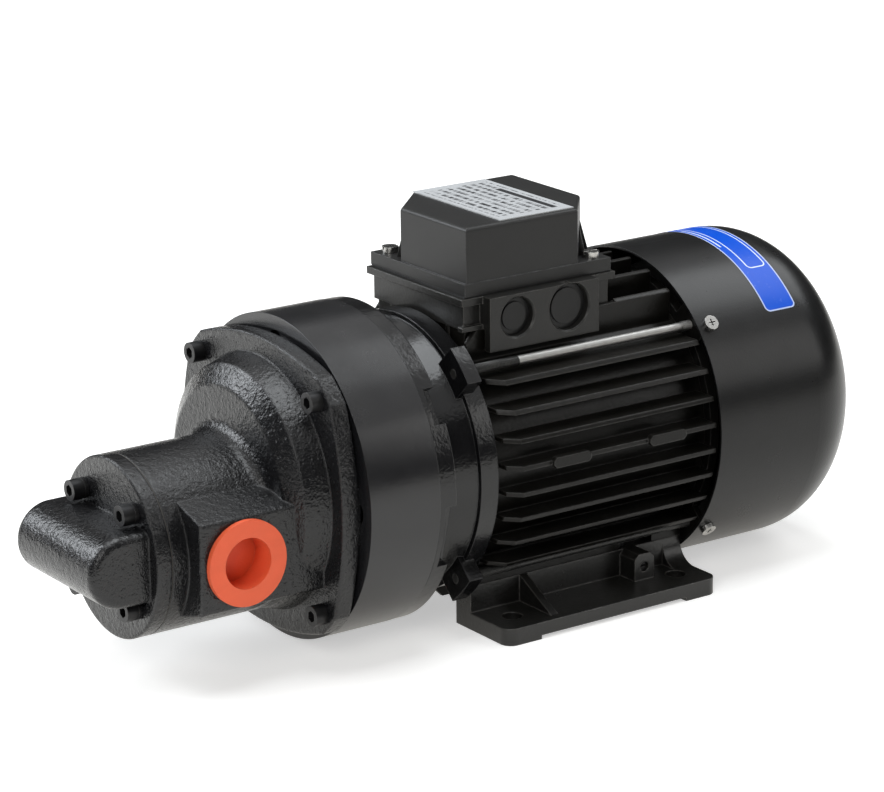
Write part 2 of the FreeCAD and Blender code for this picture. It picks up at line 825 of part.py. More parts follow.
def drive_end_shield():
    """Flanged shield: face and spigot for the ring, neck, flared bell, rim, ears and bearing hub."""
    body = new_body("ShieldBody")
    lip_back = flange_face + size.shield_lip
    lug_back = lip_back + size.shield_lug_depth
    rim_front = frame_front - 2 * size.shield_wall
    hub = size.bearing_outer + size.bearing_hub_wall
    hub_back = frame_front + size.bearing_width - size.shield_wall
    bore = size.motor_shaft_radius + size.air_gap
    shoulder = hub_back - size.bearing_width - size.washer_thickness
    revolve(body, [
        (flange_face - size.spigot_length, bore),
        (flange_face - size.spigot_length, size.ring_bore - size.seat_gap),
        (flange_face, size.ring_bore - size.seat_gap),
        (flange_face, flange_radius),
        (lug_back, flange_radius),
        (lug_back, shield_neck),
        (rim_front, shield_rim - size.shield_wall / 2),
        (rim_front, shield_rim),
        (frame_front, shield_rim),
        (frame_front, frame_bore - size.seat_gap),
        (frame_front + size.shield_spigot, frame_bore - size.seat_gap),
        (frame_front + size.shield_spigot, frame_bore - size.shield_wall),
        (lug_back, shield_neck - size.shield_wall),
        (lug_back, hub),
        (hub_back, hub),
        (hub_back, size.bearing_outer),
        (shoulder, size.bearing_outer),
        (shoulder, bore),
    ])
    notches = []
    for width, angle in ((size.upper_notch_width, size.upper_notch_angle),
                         (size.lower_notch_width, size.lower_notch_angle)):
        for half_turn in (0, 2 * QUARTER_TURN):
            notch = block(size.shield_lug_depth, width, 2 * size.notch_depth, lip_back, -width / 2,
                          axis_height + flange_radius - size.notch_depth)
            notches.append(turned(notch, QUARTER_TURN - angle + half_turn))
    holes = [cylinder(size.adapter_screw_radius + size.seat_gap, size.adapter_thread, flange_face,
                      y, axis_height + z) for y, z in corners(size.adapter_bolts / 2, 0)]
    ears = []
    stud_holes = []
    ear_front = frame_front - size.shield_ear_front
    for step in range(4):
        ear = block(size.shield_ear_thickness, size.shield_ear_width, ear_reach - frame_radius,
                    ear_front, -size.shield_ear_width / 2, axis_height + frame_radius)
        web = block(size.shield_ear_front, size.shield_wall, shield_rim + size.running - frame_radius,
                    ear_front, -size.shield_wall / 2, axis_height + frame_radius)
        ears.append(turned(common(fuse(ear, web), cylinder(ear_reach, size.shield_depth, flange_face)),
                           EIGHTH_TURN + QUARTER_TURN * step))
    for y, z in corners(stud_place):
        stud_holes.append(cylinder(size.stud_radius + size.running, size.shield_ear_front, ear_front,
                                   y, axis_height + z))
    made = cut(fuse(body, *ears), *notches, *holes, *stud_holes)
    return node(made, "drive_end_shield")


def fan_end_shield():
    """Shield under the cowl, with stud ears and lugs for the cowl's screws."""
    body = new_body("FanShieldBody")
    hub = size.bearing_outer + size.bearing_hub_wall
    hub_front = frame_back - size.bearing_width + size.shield_wall
    bore = size.motor_shaft_radius + size.air_gap
    revolve(body, [
        (fan_shield_back, bore),
        (fan_shield_back, hub),
        (frame_back + size.shield_wall, shield_rim - size.shield_wall),
        (frame_back + size.shield_wall, shield_rim),
        (frame_back, shield_rim),
        (frame_back, frame_bore - size.seat_gap),
        (frame_back - size.shield_spigot, frame_bore - size.seat_gap),
        (frame_back - size.shield_spigot, frame_bore - size.shield_wall),
        (frame_back, frame_bore - size.shield_wall),
        (frame_back, hub),
        (hub_front, hub),
        (hub_front, size.bearing_outer),
        (hub_front + size.bearing_width, size.bearing_outer),
        (hub_front + size.bearing_width, bore),
    ])
    inner_cowl = cowl_radius - size.cowl_wall - size.seat_gap
    ears = []
    for step in range(4):
        plate = block(size.fan_ear_thickness, size.shield_ear_width, inner_cowl - frame_radius, frame_back,
                      -size.shield_ear_width / 2, axis_height + frame_radius)
        lug_floor = stud_place + size.stud_nut_flats / 2 / cosine(HEXAGON_LEAN) + size.seat_gap
        lug = block(size.cowl_lug, size.shield_ear_width, inner_cowl - lug_floor, frame_back,
                    -size.shield_ear_width / 2, axis_height + lug_floor)
        ear = common(fuse(plate, lug), cylinder(inner_cowl, size.cowl_lug, frame_back))
        ears.append(turned(ear, EIGHTH_TURN + QUARTER_TURN * step))
    holes = [cylinder(size.stud_radius + size.hole_gap, size.fan_ear_thickness, frame_back, y, axis_height + z)
             for y, z in corners(stud_place)]
    nut_reach = size.stud_nut_flats / 2 / cosine(HEXAGON_LEAN) + size.seat_gap
    nut_rooms = [cylinder(nut_reach, size.fan_shield_depth, frame_back + size.fan_ear_thickness, y, axis_height + z)
                 for y, z in corners(stud_place)]
    made = cut(fuse(body, *ears), *holes, *nut_rooms,
               *cowl_screw_solids(size.cowl_screw_radius + size.seat_gap))
    return node(made, "fan_end_shield")


def cowl_screw_solids(radius):
    """Radial rods through the cowl and the lugs."""
    deep = size.cowl_wall + size.cowl_screw_radius + size.stud_radius / 2
    rods = []
    for angle in cowl_screw_angles():
        rod = cylinder(radius, deep + size.running, size.cowl_screw_place, 0,
                       axis_height + cowl_radius - deep, "z")
        rods.append(turned(rod, angle))
    return rods


def cowl_screw_angles():
    """Turns from straight up to each cowl screw."""
    lean = QUARTER_TURN - size.cowl_screw_angle
    return [lean, 2 * QUARTER_TURN - lean, 2 * QUARTER_TURN + lean, -lean]


def cowl_screws():
    """Cross-head screws, their heads on the cowl."""
    screws = []
    for rod, angle in zip(cowl_screw_solids(size.cowl_screw_radius), cowl_screw_angles()):
        head = cylinder(size.cowl_screw_head, size.cowl_screw_head_height, size.cowl_screw_place, 0,
                        axis_height + cowl_radius + size.running, "z")
        slot_start = axis_height + cowl_radius + size.cowl_screw_head_height / 2
        slot_long = size.cowl_screw_head
        slots = [block(slot_long, size.cowl_screw_radius / 3, size.cowl_screw_head_height,
                       size.cowl_screw_place - slot_long / 2, -size.cowl_screw_radius / 6, slot_start),
                 block(size.cowl_screw_radius / 3, slot_long, size.cowl_screw_head_height,
                       size.cowl_screw_place - size.cowl_screw_radius / 6, -slot_long / 2, slot_start)]
        screws.append(fuse(rod, turned(cut(head, *slots), angle)))
    return node(group(*screws), "cowl_screws")


def tie_rods():
    """Long studs from the drive-end ears to the fan-end ears."""
    start = frame_front - size.shield_ear_front
    end = frame_back + size.fan_ear_thickness + size.stud_nut_height
    studs = [cylinder(size.stud_radius, end - start, start, y, axis_height + z)
             for y, z in corners(stud_place)]
    return node(group(*studs), "tie_rods")


def tie_rod_nuts():
    nuts = []
    for y, z in corners(stud_place):
        x = frame_back + size.fan_ear_thickness
        nut = hexagon(size.stud_nut_flats, size.stud_nut_height, x, y, axis_height + z)
        nuts.append(cut(nut, cylinder(size.stud_radius + size.running, size.stud_nut_height, x, y,
                                      axis_height + z)))
    return node(group(*nuts), "tie_rod_nuts")


def fan_cowl():
    """Pressed cover with a rounded end and a ring of air slots."""
    body = new_body("CowlBody")
    wall = size.cowl_wall
    revolve(body, [
        (size.cowl_start, cowl_radius - wall),
        (size.cowl_start, cowl_radius),
        (size.cowl_end, cowl_radius),
        (size.cowl_end, 0),
        (size.cowl_end - wall, 0),
        (size.cowl_end - wall, cowl_radius - wall),
    ])
    round_edges(body, size.cowl_round, ring_edge(size.cowl_end, cowl_radius))
    round_edges(body, size.cowl_round - wall, ring_edge(size.cowl_end - wall, cowl_radius - wall))
    slot = pocket(body, "YZ_Plane", [(size.cowl_slot_inner, -size.cowl_slot_width / 2),
                                     (size.cowl_slot_outer, -size.cowl_slot_width / 2),
                                     (size.cowl_slot_outer, size.cowl_slot_width / 2),
                                     (size.cowl_slot_inner, size.cowl_slot_width / 2)],
                  size.cowl_end - 2 * wall, 2 * wall)
    polar(body, slot, size.cowl_slots)
    made = cut(body, *cowl_screw_solids(size.cowl_screw_radius + size.hole_gap))
    return node(made, "fan_cowl")


def cooling_fan():
    """Radial fan: hub, back disc and straight blades."""
    body = new_body("FanBody")
    bore = size.motor_shaft_radius + size.seat_gap
    fan_back = size.fan_start + size.fan_width
    revolve(body, [
        (size.fan_start, bore),
        (size.fan_start, fan_radius),
        (size.fan_start + size.fan_disc, fan_radius),
        (size.fan_start + size.fan_disc, size.fan_hub_radius),
        (fan_back - size.fan_disc, size.fan_hub_radius - size.fan_disc),
        (fan_back - size.fan_disc, bore),
    ])
    half = size.fan_blade_thickness / 2
    blade = pad(body, "YZ_Plane", [(size.fan_hub_radius - size.fan_disc - half, -half), (fan_radius, -half),
                                   (fan_radius, half), (size.fan_hub_radius - size.fan_disc - half, half)],
                size.fan_start + size.fan_disc / 2, size.fan_width - size.fan_disc)
    polar(body, blade, size.fan_blades)
    return node(body, "cooling_fan")


def bearing_places():
    """Front face of each bearing."""
    drive_end = frame_front - size.shield_wall
    fan_end = frame_back - size.bearing_width + size.shield_wall
    return drive_end, fan_end


def bearings():
    """Deep groove ball bearings, as outer rings, inner rings and balls."""
    outers = []
    inners = []
    balls = []
    ball_circle = (size.bearing_outer + size.bearing_inner) / 2
    for start in bearing_places():
        middle = start + size.bearing_width / 2
        groove = doc.addObject("Part::Torus", "Groove")
        put(bind(groove, Radius1=ball_circle, Radius2=size.bearing_ball + size.running), middle, 0, axis_height, "x")
        outers.append(cut(hollow(size.bearing_outer - size.seat_gap, size.bearing_outer - size.bearing_ring_wall,
                                 size.bearing_width, start), groove))
        inner_groove = doc.addObject("Part::Torus", "Groove")
        put(bind(inner_groove, Radius1=ball_circle, Radius2=size.bearing_ball + size.running),
            middle, 0, axis_height, "x")
        inners.append(cut(hollow(size.bearing_inner + size.bearing_ring_wall, size.bearing_inner + size.seat_gap,
                                 size.bearing_width, start), inner_groove))
        for step in range(int(sizes["bearing_balls"])):
            angle = 360 / size.bearing_balls * step
            ball = doc.addObject("Part::Sphere", "Ball")
            put(bind(ball, Radius=size.bearing_ball), middle, ball_circle * cosine(angle),
                axis_height + ball_circle * sine(angle))
            balls.append(ball)
    node(group(*outers), "bearing_outer_rings")
    node(group(*inners), "bearing_inner_rings")
    return node(group(*balls), "bearing_balls")


def wave_washer():
    """Preload washer between the drive-end bearing and its shoulder."""
    start = bearing_places()[0] - size.washer_thickness
    return node(hollow(size.bearing_outer - size.hole_gap, size.bearing_outer - size.bearing_ring_wall,
                       size.washer_thickness, start), "wave_washer")


def stator_core():
    """Laminated core with open slots."""
    body = new_body("StatorBody")
    front = size.core_middle - size.core_length / 2
    back = size.core_middle + size.core_length / 2
    revolve(body, [(front, size.stator_bore), (front, frame_bore - size.seat_gap),
                   (back, frame_bore - size.seat_gap), (back, size.stator_bore)])
    floor = size.stator_bore + size.slot_from_bore
    slot = pocket(body, "YZ_Plane", [(floor, -size.slot_width / 2), (floor + size.slot_depth, -size.slot_width / 2),
                                     (floor + size.slot_depth, size.slot_width / 2), (floor, size.slot_width / 2)],
                  front, size.core_length)
    polar(body, slot, size.stator_slots)
    return node(body, "stator_core")


def stator_windings():
    """Bars in the slots joined by a ring of end turns on each side."""
    body = new_body("WindingBody")
    front = size.core_middle - size.core_length / 2
    floor = size.stator_bore + size.slot_from_bore
    ring_inner = floor + size.seat_gap
    ring_outer = floor + size.slot_depth - size.seat_gap
    revolve(body, [(front - size.winding_overhang, ring_inner + size.slot_from_bore),
                   (front - size.winding_overhang, ring_outer + size.slot_from_bore),
                   (front - size.air_gap, ring_outer), (front - size.air_gap, ring_inner)])
    half = size.slot_width / 2 - size.seat_gap
    bar_inner = ring_inner + size.air_gap
    bar_outer = ring_outer - size.air_gap
    bar = pad(body, "YZ_Plane", [(bar_inner, -half), (bar_outer, -half), (bar_outer, half), (bar_inner, half)],
              front - 2 * size.air_gap, size.core_length + 4 * size.air_gap)
    polar(body, bar, size.stator_slots)
    back = size.core_middle + size.core_length / 2
    revolve(body, [(back + size.air_gap, ring_inner), (back + size.air_gap, ring_outer),
                   (back + size.winding_overhang, ring_outer + size.slot_from_bore),
                   (back + size.winding_overhang, ring_inner + size.slot_from_bore)])
    return node(body, "stator_windings")


def rotor_core():
    """Laminated rotor with cast end rings."""
    body = new_body("RotorBody")
    front = size.core_middle - size.core_length / 2
    back = size.core_middle + size.core_length / 2
    ring_inner = size.rotor_radius - size.rotor_ring_wall
    bore = size.rotor_seat_radius + size.seat_gap
    revolve(body, [
        (front, bore), (front, ring_inner), (front - size.rotor_ring_length, ring_inner),
        (front - size.rotor_ring_length, size.rotor_radius - size.air_gap), (front, size.rotor_radius - size.air_gap),
        (front, size.rotor_radius), (back, size.rotor_radius), (back, size.rotor_radius - size.air_gap),
        (back + size.rotor_ring_length, size.rotor_radius - size.air_gap),
        (back + size.rotor_ring_length, ring_inner), (back, ring_inner), (back, bore),
    ])
    return node(body, "rotor_core")


def motor_shaft():
    """Stepped shaft with a keyway at the coupling end."""
    body = new_body("ShaftBody")
    start = flange_face - size.shaft_extension
    drive_bearing, fan_bearing = bearing_places()
    bearing_end = drive_bearing + size.bearing_width
    end = fan_bearing + size.bearing_width + size.shaft_tail
    revolve(body, [
        (start, 0), (start, size.motor_shaft_radius - size.air_gap),
        (start + size.air_gap, size.motor_shaft_radius), (drive_bearing - size.air_gap, size.motor_shaft_radius),
        (drive_bearing - size.air_gap, size.bearing_inner), (bearing_end, size.bearing_inner),
        (bearing_end, size.rotor_seat_radius), (fan_bearing, size.rotor_seat_radius),
        (fan_bearing, size.bearing_inner), (fan_bearing + size.bearing_width, size.bearing_inner),
        (fan_bearing + size.bearing_width, size.motor_shaft_radius), (end, size.motor_shaft_radius), (end, 0),
    ])
    keyway = block(size.key_length, size.key_width, size.key_depth + size.air_gap, start + size.air_gap,
                   -size.key_width / 2, axis_height + size.motor_shaft_radius - size.key_depth)
    return node(cut(body, keyway), "motor_shaft")


def shaft_key():
    start = flange_face - size.shaft_extension + size.air_gap
    return node(block(size.key_length, size.key_width - 2 * size.seat_gap, size.key_width,
                      start, size.seat_gap - size.key_width / 2,
                      axis_height + size.motor_shaft_radius - size.key_depth), "shaft_key")


def coupling():
    """Two jawed hubs with a rubber star between them."""
    jaws_back = flange_face - size.shaft_extension - size.air_gap
    jaws_front = jaws_back - size.coupling_jaw
    pump_hub_front = jaws_front - size.pump_hub_length
    pump_bore = size.gear_shaft_radius + size.seat_gap
    motor_bore = size.motor_shaft_radius + size.seat_gap
    pump_hub = hollow(size.coupling_radius, pump_bore, size.pump_hub_length, pump_hub_front)
    motor_hub = hollow(size.coupling_radius, motor_bore, size.motor_hub_length, jaws_back)
    key_top = size.motor_shaft_radius - size.key_depth + size.key_width + size.seat_gap
    key_room = block(size.key_length + 2 * size.air_gap, size.key_width, key_top, jaws_back,
                     -size.key_width / 2, axis_height)
    jaw_depth = size.coupling_jaw - size.air_gap
    pump_jaws = jaws(jaws_front, jaw_depth, 0)
    motor_jaws = jaws(jaws_back - jaw_depth, jaw_depth, 180 / size.coupling_jaws)
    node(fuse(pump_hub, *pump_jaws), "pump_coupling_hub")
    node(cut(fuse(motor_hub, *motor_jaws), key_room), "motor_coupling_hub")
    disc = hollow(size.coupling_radius - size.air_gap, size.spider_bore, jaw_depth - size.air_gap,
                  jaws_front + size.air_gap)
    slots = jaws(jaws_front, size.coupling_jaw, 0, size.jaw_play)
    slots += jaws(jaws_front, size.coupling_jaw, 180 / size.coupling_jaws, size.jaw_play)
    return node(cut(disc, *slots), "coupling_spider")


def jaws(x, depth, start_angle, play=0):
    """Wedge-shaped jaws standing on a hub's face, or with some play the room for them."""
    spread = size.jaw_angle + play
    inner = size.spider_bore + size.bush_wall - size.seat_gap * play
    made = []
    for step in range(int(sizes["coupling_jaws"])):
        wedge = doc.addObject("Part::Cylinder", "Wedge")
        put(bind(wedge, Radius=size.coupling_radius, Height=depth, Angle=spread), x, 0, axis_height, "x")
        core = cylinder(inner, depth, x)
        angle = start_angle + 360 / size.coupling_jaws * step
        made.append(turned(cut(wedge, core), angle - spread / 2))
    return made


def adapter_ring():
    """Turned ring, spigoted to both flanges, with sunk screws towards the motor."""
    tube = hollow(ring_radius, size.ring_bore, size.ring_length, ring_front)
    tools = []
    for y, z in corners(size.adapter_bolts / 2, 0):
        tools.append(cylinder(size.adapter_screw_radius + size.hole_gap, size.ring_length, ring_front,
                              y, axis_height + z))
        tools.append(cylinder(size.adapter_head_radius + size.hole_gap, size.ring_length - size.adapter_grip,
                              ring_front, y, axis_height + z))
    for y, z in corners(bell_bolt_place):
        tools.append(cylinder(size.screw_radius + size.seat_gap, size.flange_screw_length, ring_front,
                              y, axis_height + z))
    return node(cut(tube, *tools), "adapter_ring")


def adapter_screws():
    """Sunk socket screws from the ring into the motor's flange."""
    screws = []
    for y, z in corners(size.adapter_bolts / 2, 0):
        head_back = flange_face - size.adapter_grip
        head_front = head_back - size.adapter_head_height
        head = cylinder(size.adapter_head_radius, size.adapter_head_height, head_front, y, axis_height + z)
        shank = cylinder(size.adapter_screw_radius, size.adapter_grip + size.adapter_thread - size.air_gap,
                         head_back, y, axis_height + z)
        socket = hexagon(size.screw_socket, size.screw_socket_depth, head_front, y, axis_height + z)
        screws.append(cut(fuse(head, shank), socket))
    return node(group(*screws), "adapter_screws")


def flange_screws():
    """Socket screws through the bell's flange into the ring."""
    screws = [socket_screw(bell_flange_front, y, axis_height + z, size.screw_radius, size.flange_screw_length)
              for y, z in corners(bell_bolt_place)]
    return node(group(*screws), "flange_screws")


def bell_flange_outline(x, thickness):
    """Four bowed sides held inside one round, as a common of five rounds."""
    rounds = [cylinder(ring_radius + size.bell_corner_over_ring, thickness, x)]
    offset = size.bell_side_round - ring_radius + size.bell_flat_inside_ring
    for y, z in corners(offset, 0):
        rounds.append(cylinder(size.bell_side_round, thickness, x, y, axis_height + z))
    flange = body_of(common(*rounds), "BellFlange")
    round_edges(flange, size.flange_round, edge_at(x=x))
    return flange


def pump_body():
    """Casting: round housing on the pump axis, port block through it, bell and flange."""
    bell = new_body("BellBody")
    revolve(bell, [
        (bell_flange_front + size.bell_flange / 2, 0),
        (bell_flange_front + size.bell_flange / 2, size.bell_base),
        (bell_flange_front, size.bell_base),
        (boss_face + size.bell_shoulder, (size.bell_base + size.bell_boss) / 2 + size.bell_shoulder / 2),
        (boss_face, size.bell_boss),
        (boss_face, 0),
    ])
    round_edges(bell, size.bell_round, ring_edge(boss_face, size.bell_boss))
    flange = bell_flange_outline(bell_flange_front, size.bell_flange)
    seat = cylinder(ring_radius - size.bell_seat_inside_ring, size.bell_seat, ring_front - size.bell_seat)
    spigot = cylinder(size.ring_bore - size.seat_gap, size.spigot_length, ring_front)
    housing = cylinder(size.housing_radius, size.housing_length + size.bell_wall, housing_front, 0, pump_height)
    ports = new_body("PortBody", pump_height)
    face = size.port_face
    half = size.port_block_height / 2
    root = size.port_block_root / 2
    inner = size.port_block_inner
    block_front = housing_front + size.port_block_front
    pad(ports, "YZ_Plane", [(-face, -half), (-face, half), (-inner, root), (inner, root), (face, half),
                            (face, -half), (inner, -root), (-inner, -root)],
        block_front, bell_flange_front - block_front + size.bell_flange / 2)
    round_edges(ports, size.port_block_round, edge_at(y=face))
    solid = fuse(bell, flange, seat, spigot, housing, housing_collar(), ports)
    cavity_end = ring_front + size.spigot_length
    tools = [
        cylinder(size.bell_cavity, cavity_end - cavity_front, cavity_front),
        cylinder(chamber_radius, chamber_back - housing_front, housing_front),
        cylinder(chamber_radius, chamber_back - housing_front, housing_front, 0, driven_height),
        cylinder(bush_radius + size.seat_gap, size.bush_length, chamber_back),
        cylinder(bush_radius + size.seat_gap, size.bush_length, chamber_back, 0, driven_height),
        cylinder(size.gear_shaft_radius + size.air_gap, cavity_front - chamber_back, chamber_back),
        cylinder(size.seal_radius + size.seat_gap, size.seal_width, cavity_front - size.seal_width),
    ]
    for side in (-1, 1):
        start = -face if side < 0 else face - size.port_depth
        tools.append(cylinder(size.port_radius, size.port_depth, port_axis, start, pump_height, "y"))
        channel_start = -face + size.port_depth if side < 0 else 0
        tools.append(cylinder(size.port_channel, face - size.port_depth, port_axis - size.port_channel_shift,
                              channel_start, pump_height, "y"))
    for y, z in corners(size.cover_bolts / 2):
        tools.append(cylinder(size.screw_radius + size.seat_gap, size.cover_screw_length, housing_front,
                              y, pump_height + z))
    for y, z in corners(bell_bolt_place):
        tools.append(cylinder(size.screw_radius + size.hole_gap, size.bell_flange + size.bell_seat,
                              bell_flange_front, y, axis_height + z))
        tools.append(cylinder(size.screw_head_radius + size.hole_gap, size.bell_depth,
                              boss_face, y, axis_height + z))
    return node(cut(solid, *tools), "pump_body")


def housing_collar():
    """Fillet between the housing and the bell, kept inside the bell's own round."""
    radius = size.housing_fillet
    start = boss_face - radius
    rough = cylinder(size.housing_radius + radius, bell_flange_front - start, start, 0, pump_height)
    ring = doc.addObject("Part::Torus", "FilletRing")
    put(bind(ring, Radius1=size.housing_radius + radius, Radius2=radius), start, 0, pump_height, "x")
    return common(cut(rough, ring), cylinder(size.bell_base - size.bell_round, bell_flange_front - start, start))


def cover_gasket():
    sheet_round = cylinder(size.housing_radius, size.gasket, cover_back, 0, pump_height)
    tools = [cylinder(chamber_radius, size.gasket, cover_back),
             cylinder(chamber_radius, size.gasket, cover_back, 0, driven_height)]
    for y, z in corners(size.cover_bolts / 2):
        tools.append(cylinder(size.screw_radius + size.hole_gap, size.gasket, cover_back, y, pump_height + z))
    return node(cut(sheet_round, *tools), "cover_gasket")


def pump_cover():
    """Front cover with the relief valve's housing cast across it."""
    disc = new_body("CoverDisc", pump_height)
    revolve(disc, [(cover_front, 0), (cover_front, size.housing_radius), (cover_back, size.housing_radius),
                   (cover_back, 0)])
    round_edges(disc, size.cover_round, ring_edge(cover_front, size.housing_radius))
    half = size.relief_half_width
    nose = cylinder(relief_round, 2 * half, relief_axis, -half, pump_height, "y")
    bridge = block(cover_front - relief_axis + size.cover_thickness / 2, 2 * half, size.relief_height,
                   relief_axis, -half, pump_height - relief_round)
    relief = body_of(fuse(nose, bridge), "ReliefHousing")
    end_edge = edge_at(y=half)
    bridge_back = float(cover_front + size.cover_thickness / 2)

    def open_end_edge(edge):
        return end_edge(edge) and edge.BoundBox.XMin < bridge_back - 0.01

    round_edges(relief, size.relief_end_round, open_end_edge)
    tools = [
        cylinder(size.relief_bore, half + size.relief_seat_place, relief_axis, -size.relief_seat_place,
                 pump_height, "y"),
        cylinder(bush_radius + size.seat_gap, size.cover_bore_depth, cover_back - size.cover_bore_depth),
        cylinder(bush_radius + size.seat_gap, size.cover_bore_depth, cover_back - size.cover_bore_depth,
                 0, driven_height),
    ]
    for side in (-1, 1):
        tools.append(cylinder(size.relief_channel, cover_back - relief_axis, relief_axis,
                              side * (size.relief_seat_place - size.relief_channel), pump_height))
    for y, z in corners(size.cover_bolts / 2):
        tools.append(cylinder(size.screw_radius + size.hole_gap, size.cover_thickness, cover_front,
                              y, pump_height + z))
        tools.append(cylinder(size.screw_head_radius + size.air_gap, size.relief_depth, relief_front,
                              y, pump_height + z))
    return node(cut(fuse(disc, relief), *tools), "pump_cover")


def cover_fasteners():
    """Cover screws over split spring washers."""
    screws = []
    washers = []
    for y, z in corners(size.cover_bolts / 2):
        z = pump_height + z
        seat = cover_front - size.spring_washer
        grip = size.spring_washer + size.cover_thickness + size.gasket + size.cover_screw_length - size.air_gap
        screws.append(socket_screw(seat, y, z, size.screw_radius, grip))
        ring = hollow(size.screw_head_radius, size.screw_radius + size.hole_gap, size.spring_washer, seat, y, z)
        split = block(size.spring_washer, size.screw_head_radius, size.hole_gap * 2, seat, y, z)
        washers.append(cut(ring, split))
    node(group(*screws), "cover_screws")
    return node(group(*washers), "cover_spring_washers")


def involute(base, roll):
    """Point of the involute of a circle, at its roll angle."""
    return FreeCAD.Vector(0, base * (math.cos(roll) + roll * math.sin(roll)),
                          base * (math.sin(roll) - roll * math.cos(roll)))


def gear_solid(x, z, start_angle):
    """Spur gear: an involute flank, mirrored and repeated round the blank."""
    teeth = int(sizes["gear_teeth"])
    pitch = float(gear_pitch_radius)
    tip = float(gear_tip_radius)
    root = pitch - sizes["gear_module"] - sizes["tooth_root_gap"]
    base = pitch * math.cos(math.radians(sizes["pressure_angle"]))
    roll_pitch = math.tan(math.radians(sizes["pressure_angle"]))
    roll_tip = math.sqrt((tip / base) ** 2 - 1)
    flank_lean = roll_pitch - math.radians(sizes["pressure_angle"])
    half_tooth = math.pi / 2 / teeth - sizes["gear_backlash"] / 2 / pitch + flank_lean
    steps = 4
    axis = FreeCAD.Vector(1, 0, 0)
    edges = []
    last = None
    first = None
    for tooth in range(teeth):
        turn = math.degrees(2 * math.pi * tooth / teeth) + start_angle
        flank = [involute(base, roll_tip * step / steps) for step in range(steps + 1)]
        lower = [FreeCAD.Rotation(axis, turn - math.degrees(half_tooth)).multVec(p) for p in flank]
        upper = [FreeCAD.Rotation(axis, turn + math.degrees(half_tooth)).multVec(
            FreeCAD.Vector(0, p.y, -p.z)) for p in flank]
        foot_in = lower[0] * (root / base)
        foot_out = upper[0] * (root / base)
        if last is not None:
            edges.append(Part.makeLine(last, foot_in))
        else:
            first = foot_in
        edges.append(Part.makeLine(foot_in, lower[0]))
        curve = Part.BSplineCurve()
        curve.interpolate(lower)
        edges.append(curve.toShape())
        crest = FreeCAD.Rotation(axis, turn).multVec(FreeCAD.Vector(0, tip, 0))
        edges.append(Part.Arc(lower[-1], crest, upper[-1]).toShape())
        curve = Part.BSplineCurve()
        curve.interpolate(upper[::-1])
        edges.append(curve.toShape())
        edges.append(Part.makeLine(upper[0], foot_out))
        last = foot_out
    edges.append(Part.makeLine(last, first))
    face = Part.Face(Part.Wire(edges))
    solid = face.extrude(FreeCAD.Vector(sizes["gear_width"], 0, 0))
    made = doc.addObject("Part::Feature", "Teeth")
    made.Shape = solid
    return put(made, x, 0, z)


def gears():
    """Driving and driven gear, each in one piece with its shaft, in mesh at rest."""
    cover_end = cover_back - size.cover_bush_length
    teeth = sizes["gear_teeth"]
    drive_end = flange_face - size.shaft_extension - size.air_gap - size.coupling_jaw - size.air_gap
    drive_shaft = cylinder(size.gear_shaft_radius, drive_end - cover_end, cover_end)
    driven_end = chamber_back + size.bush_length - size.air_gap
    driven_shaft = cylinder(size.gear_shaft_radius, driven_end - cover_end, cover_end, 0, driven_height)
    node(fuse(gear_solid(gear_front, axis_height, -90), drive_shaft), "drive_gear")
    return node(fuse(gear_solid(gear_front, driven_height, 90 + 180 / teeth), driven_shaft), "driven_gear")


def pump_bushes():
    """Plain bushes in the body and in the cover, for both shafts."""
    bushes = []
    for z in (axis_height, driven_height):
        inner = size.gear_shaft_radius + size.running
        bushes.append(hollow(bush_radius, inner, size.bush_length, chamber_back, 0, z))
        bushes.append(hollow(bush_radius, inner, size.cover_bush_length, cover_back - size.cover_bush_length,
                             0, z))
    return node(group(*bushes), "pump_bushes")


def shaft_seal():
    return node(hollow(size.seal_radius, size.gear_shaft_radius + size.running, size.seal_width,
                       cavity_front - size.seal_width), "shaft_seal")


def relief_valve():
    """Piston on its seat, spring behind it and the screwed plug that holds the spring."""
    piston_start = -size.relief_seat_place
    piston = cylinder(size.relief_bore - size.running, size.relief_piston_length, relief_axis, piston_start,
                      pump_height, "y")
    pit_depth = size.relief_piston_length / 2
    pit = cylinder(size.spring_radius + 2 * size.spring_wire, pit_depth, relief_axis,
                   piston_start + size.relief_piston_length - pit_depth, pump_height, "y")
    node(cut(piston, pit), "relief_piston")
    plug_start = size.relief_half_width - size.relief_plug_sink - size.relief_plug_length
    plug = cylinder(size.relief_bore - size.seat_gap, size.relief_plug_length, relief_axis, plug_start,
                    pump_height, "y")
    socket = hexagon(size.relief_socket, size.relief_socket_depth, relief_axis,
                     size.relief_half_width - size.relief_plug_sink - size.relief_socket_depth, pump_height, "y")
    node(cut(plug, socket), "relief_plug")
    spring_start = piston_start + size.relief_piston_length - pit_depth + size.side_gap
    return relief_spring(spring_start, plug_start - size.side_gap)


def relief_spring(start, end):
    """Helical spring between the piston and the plug."""
    wire = sizes["spring_wire"]
    radius = sizes["spring_radius"]
    travel = float(end - start) - 2 * wire
    helix = Part.makeHelix(travel / sizes["spring_turns"], travel, radius)
    section = Part.Wire(Part.makeCircle(wire, FreeCAD.Vector(radius, 0, 0), FreeCAD.Vector(0, 1, 0)))
    made = doc.addObject("Part::Feature", "Coil")
    made.Shape = Part.Wire(helix.Edges).makePipeShell([section], True, True)
    put(made, relief_axis, start + size.spring_wire, pump_height, "y")
    return node(made, "relief_spring")


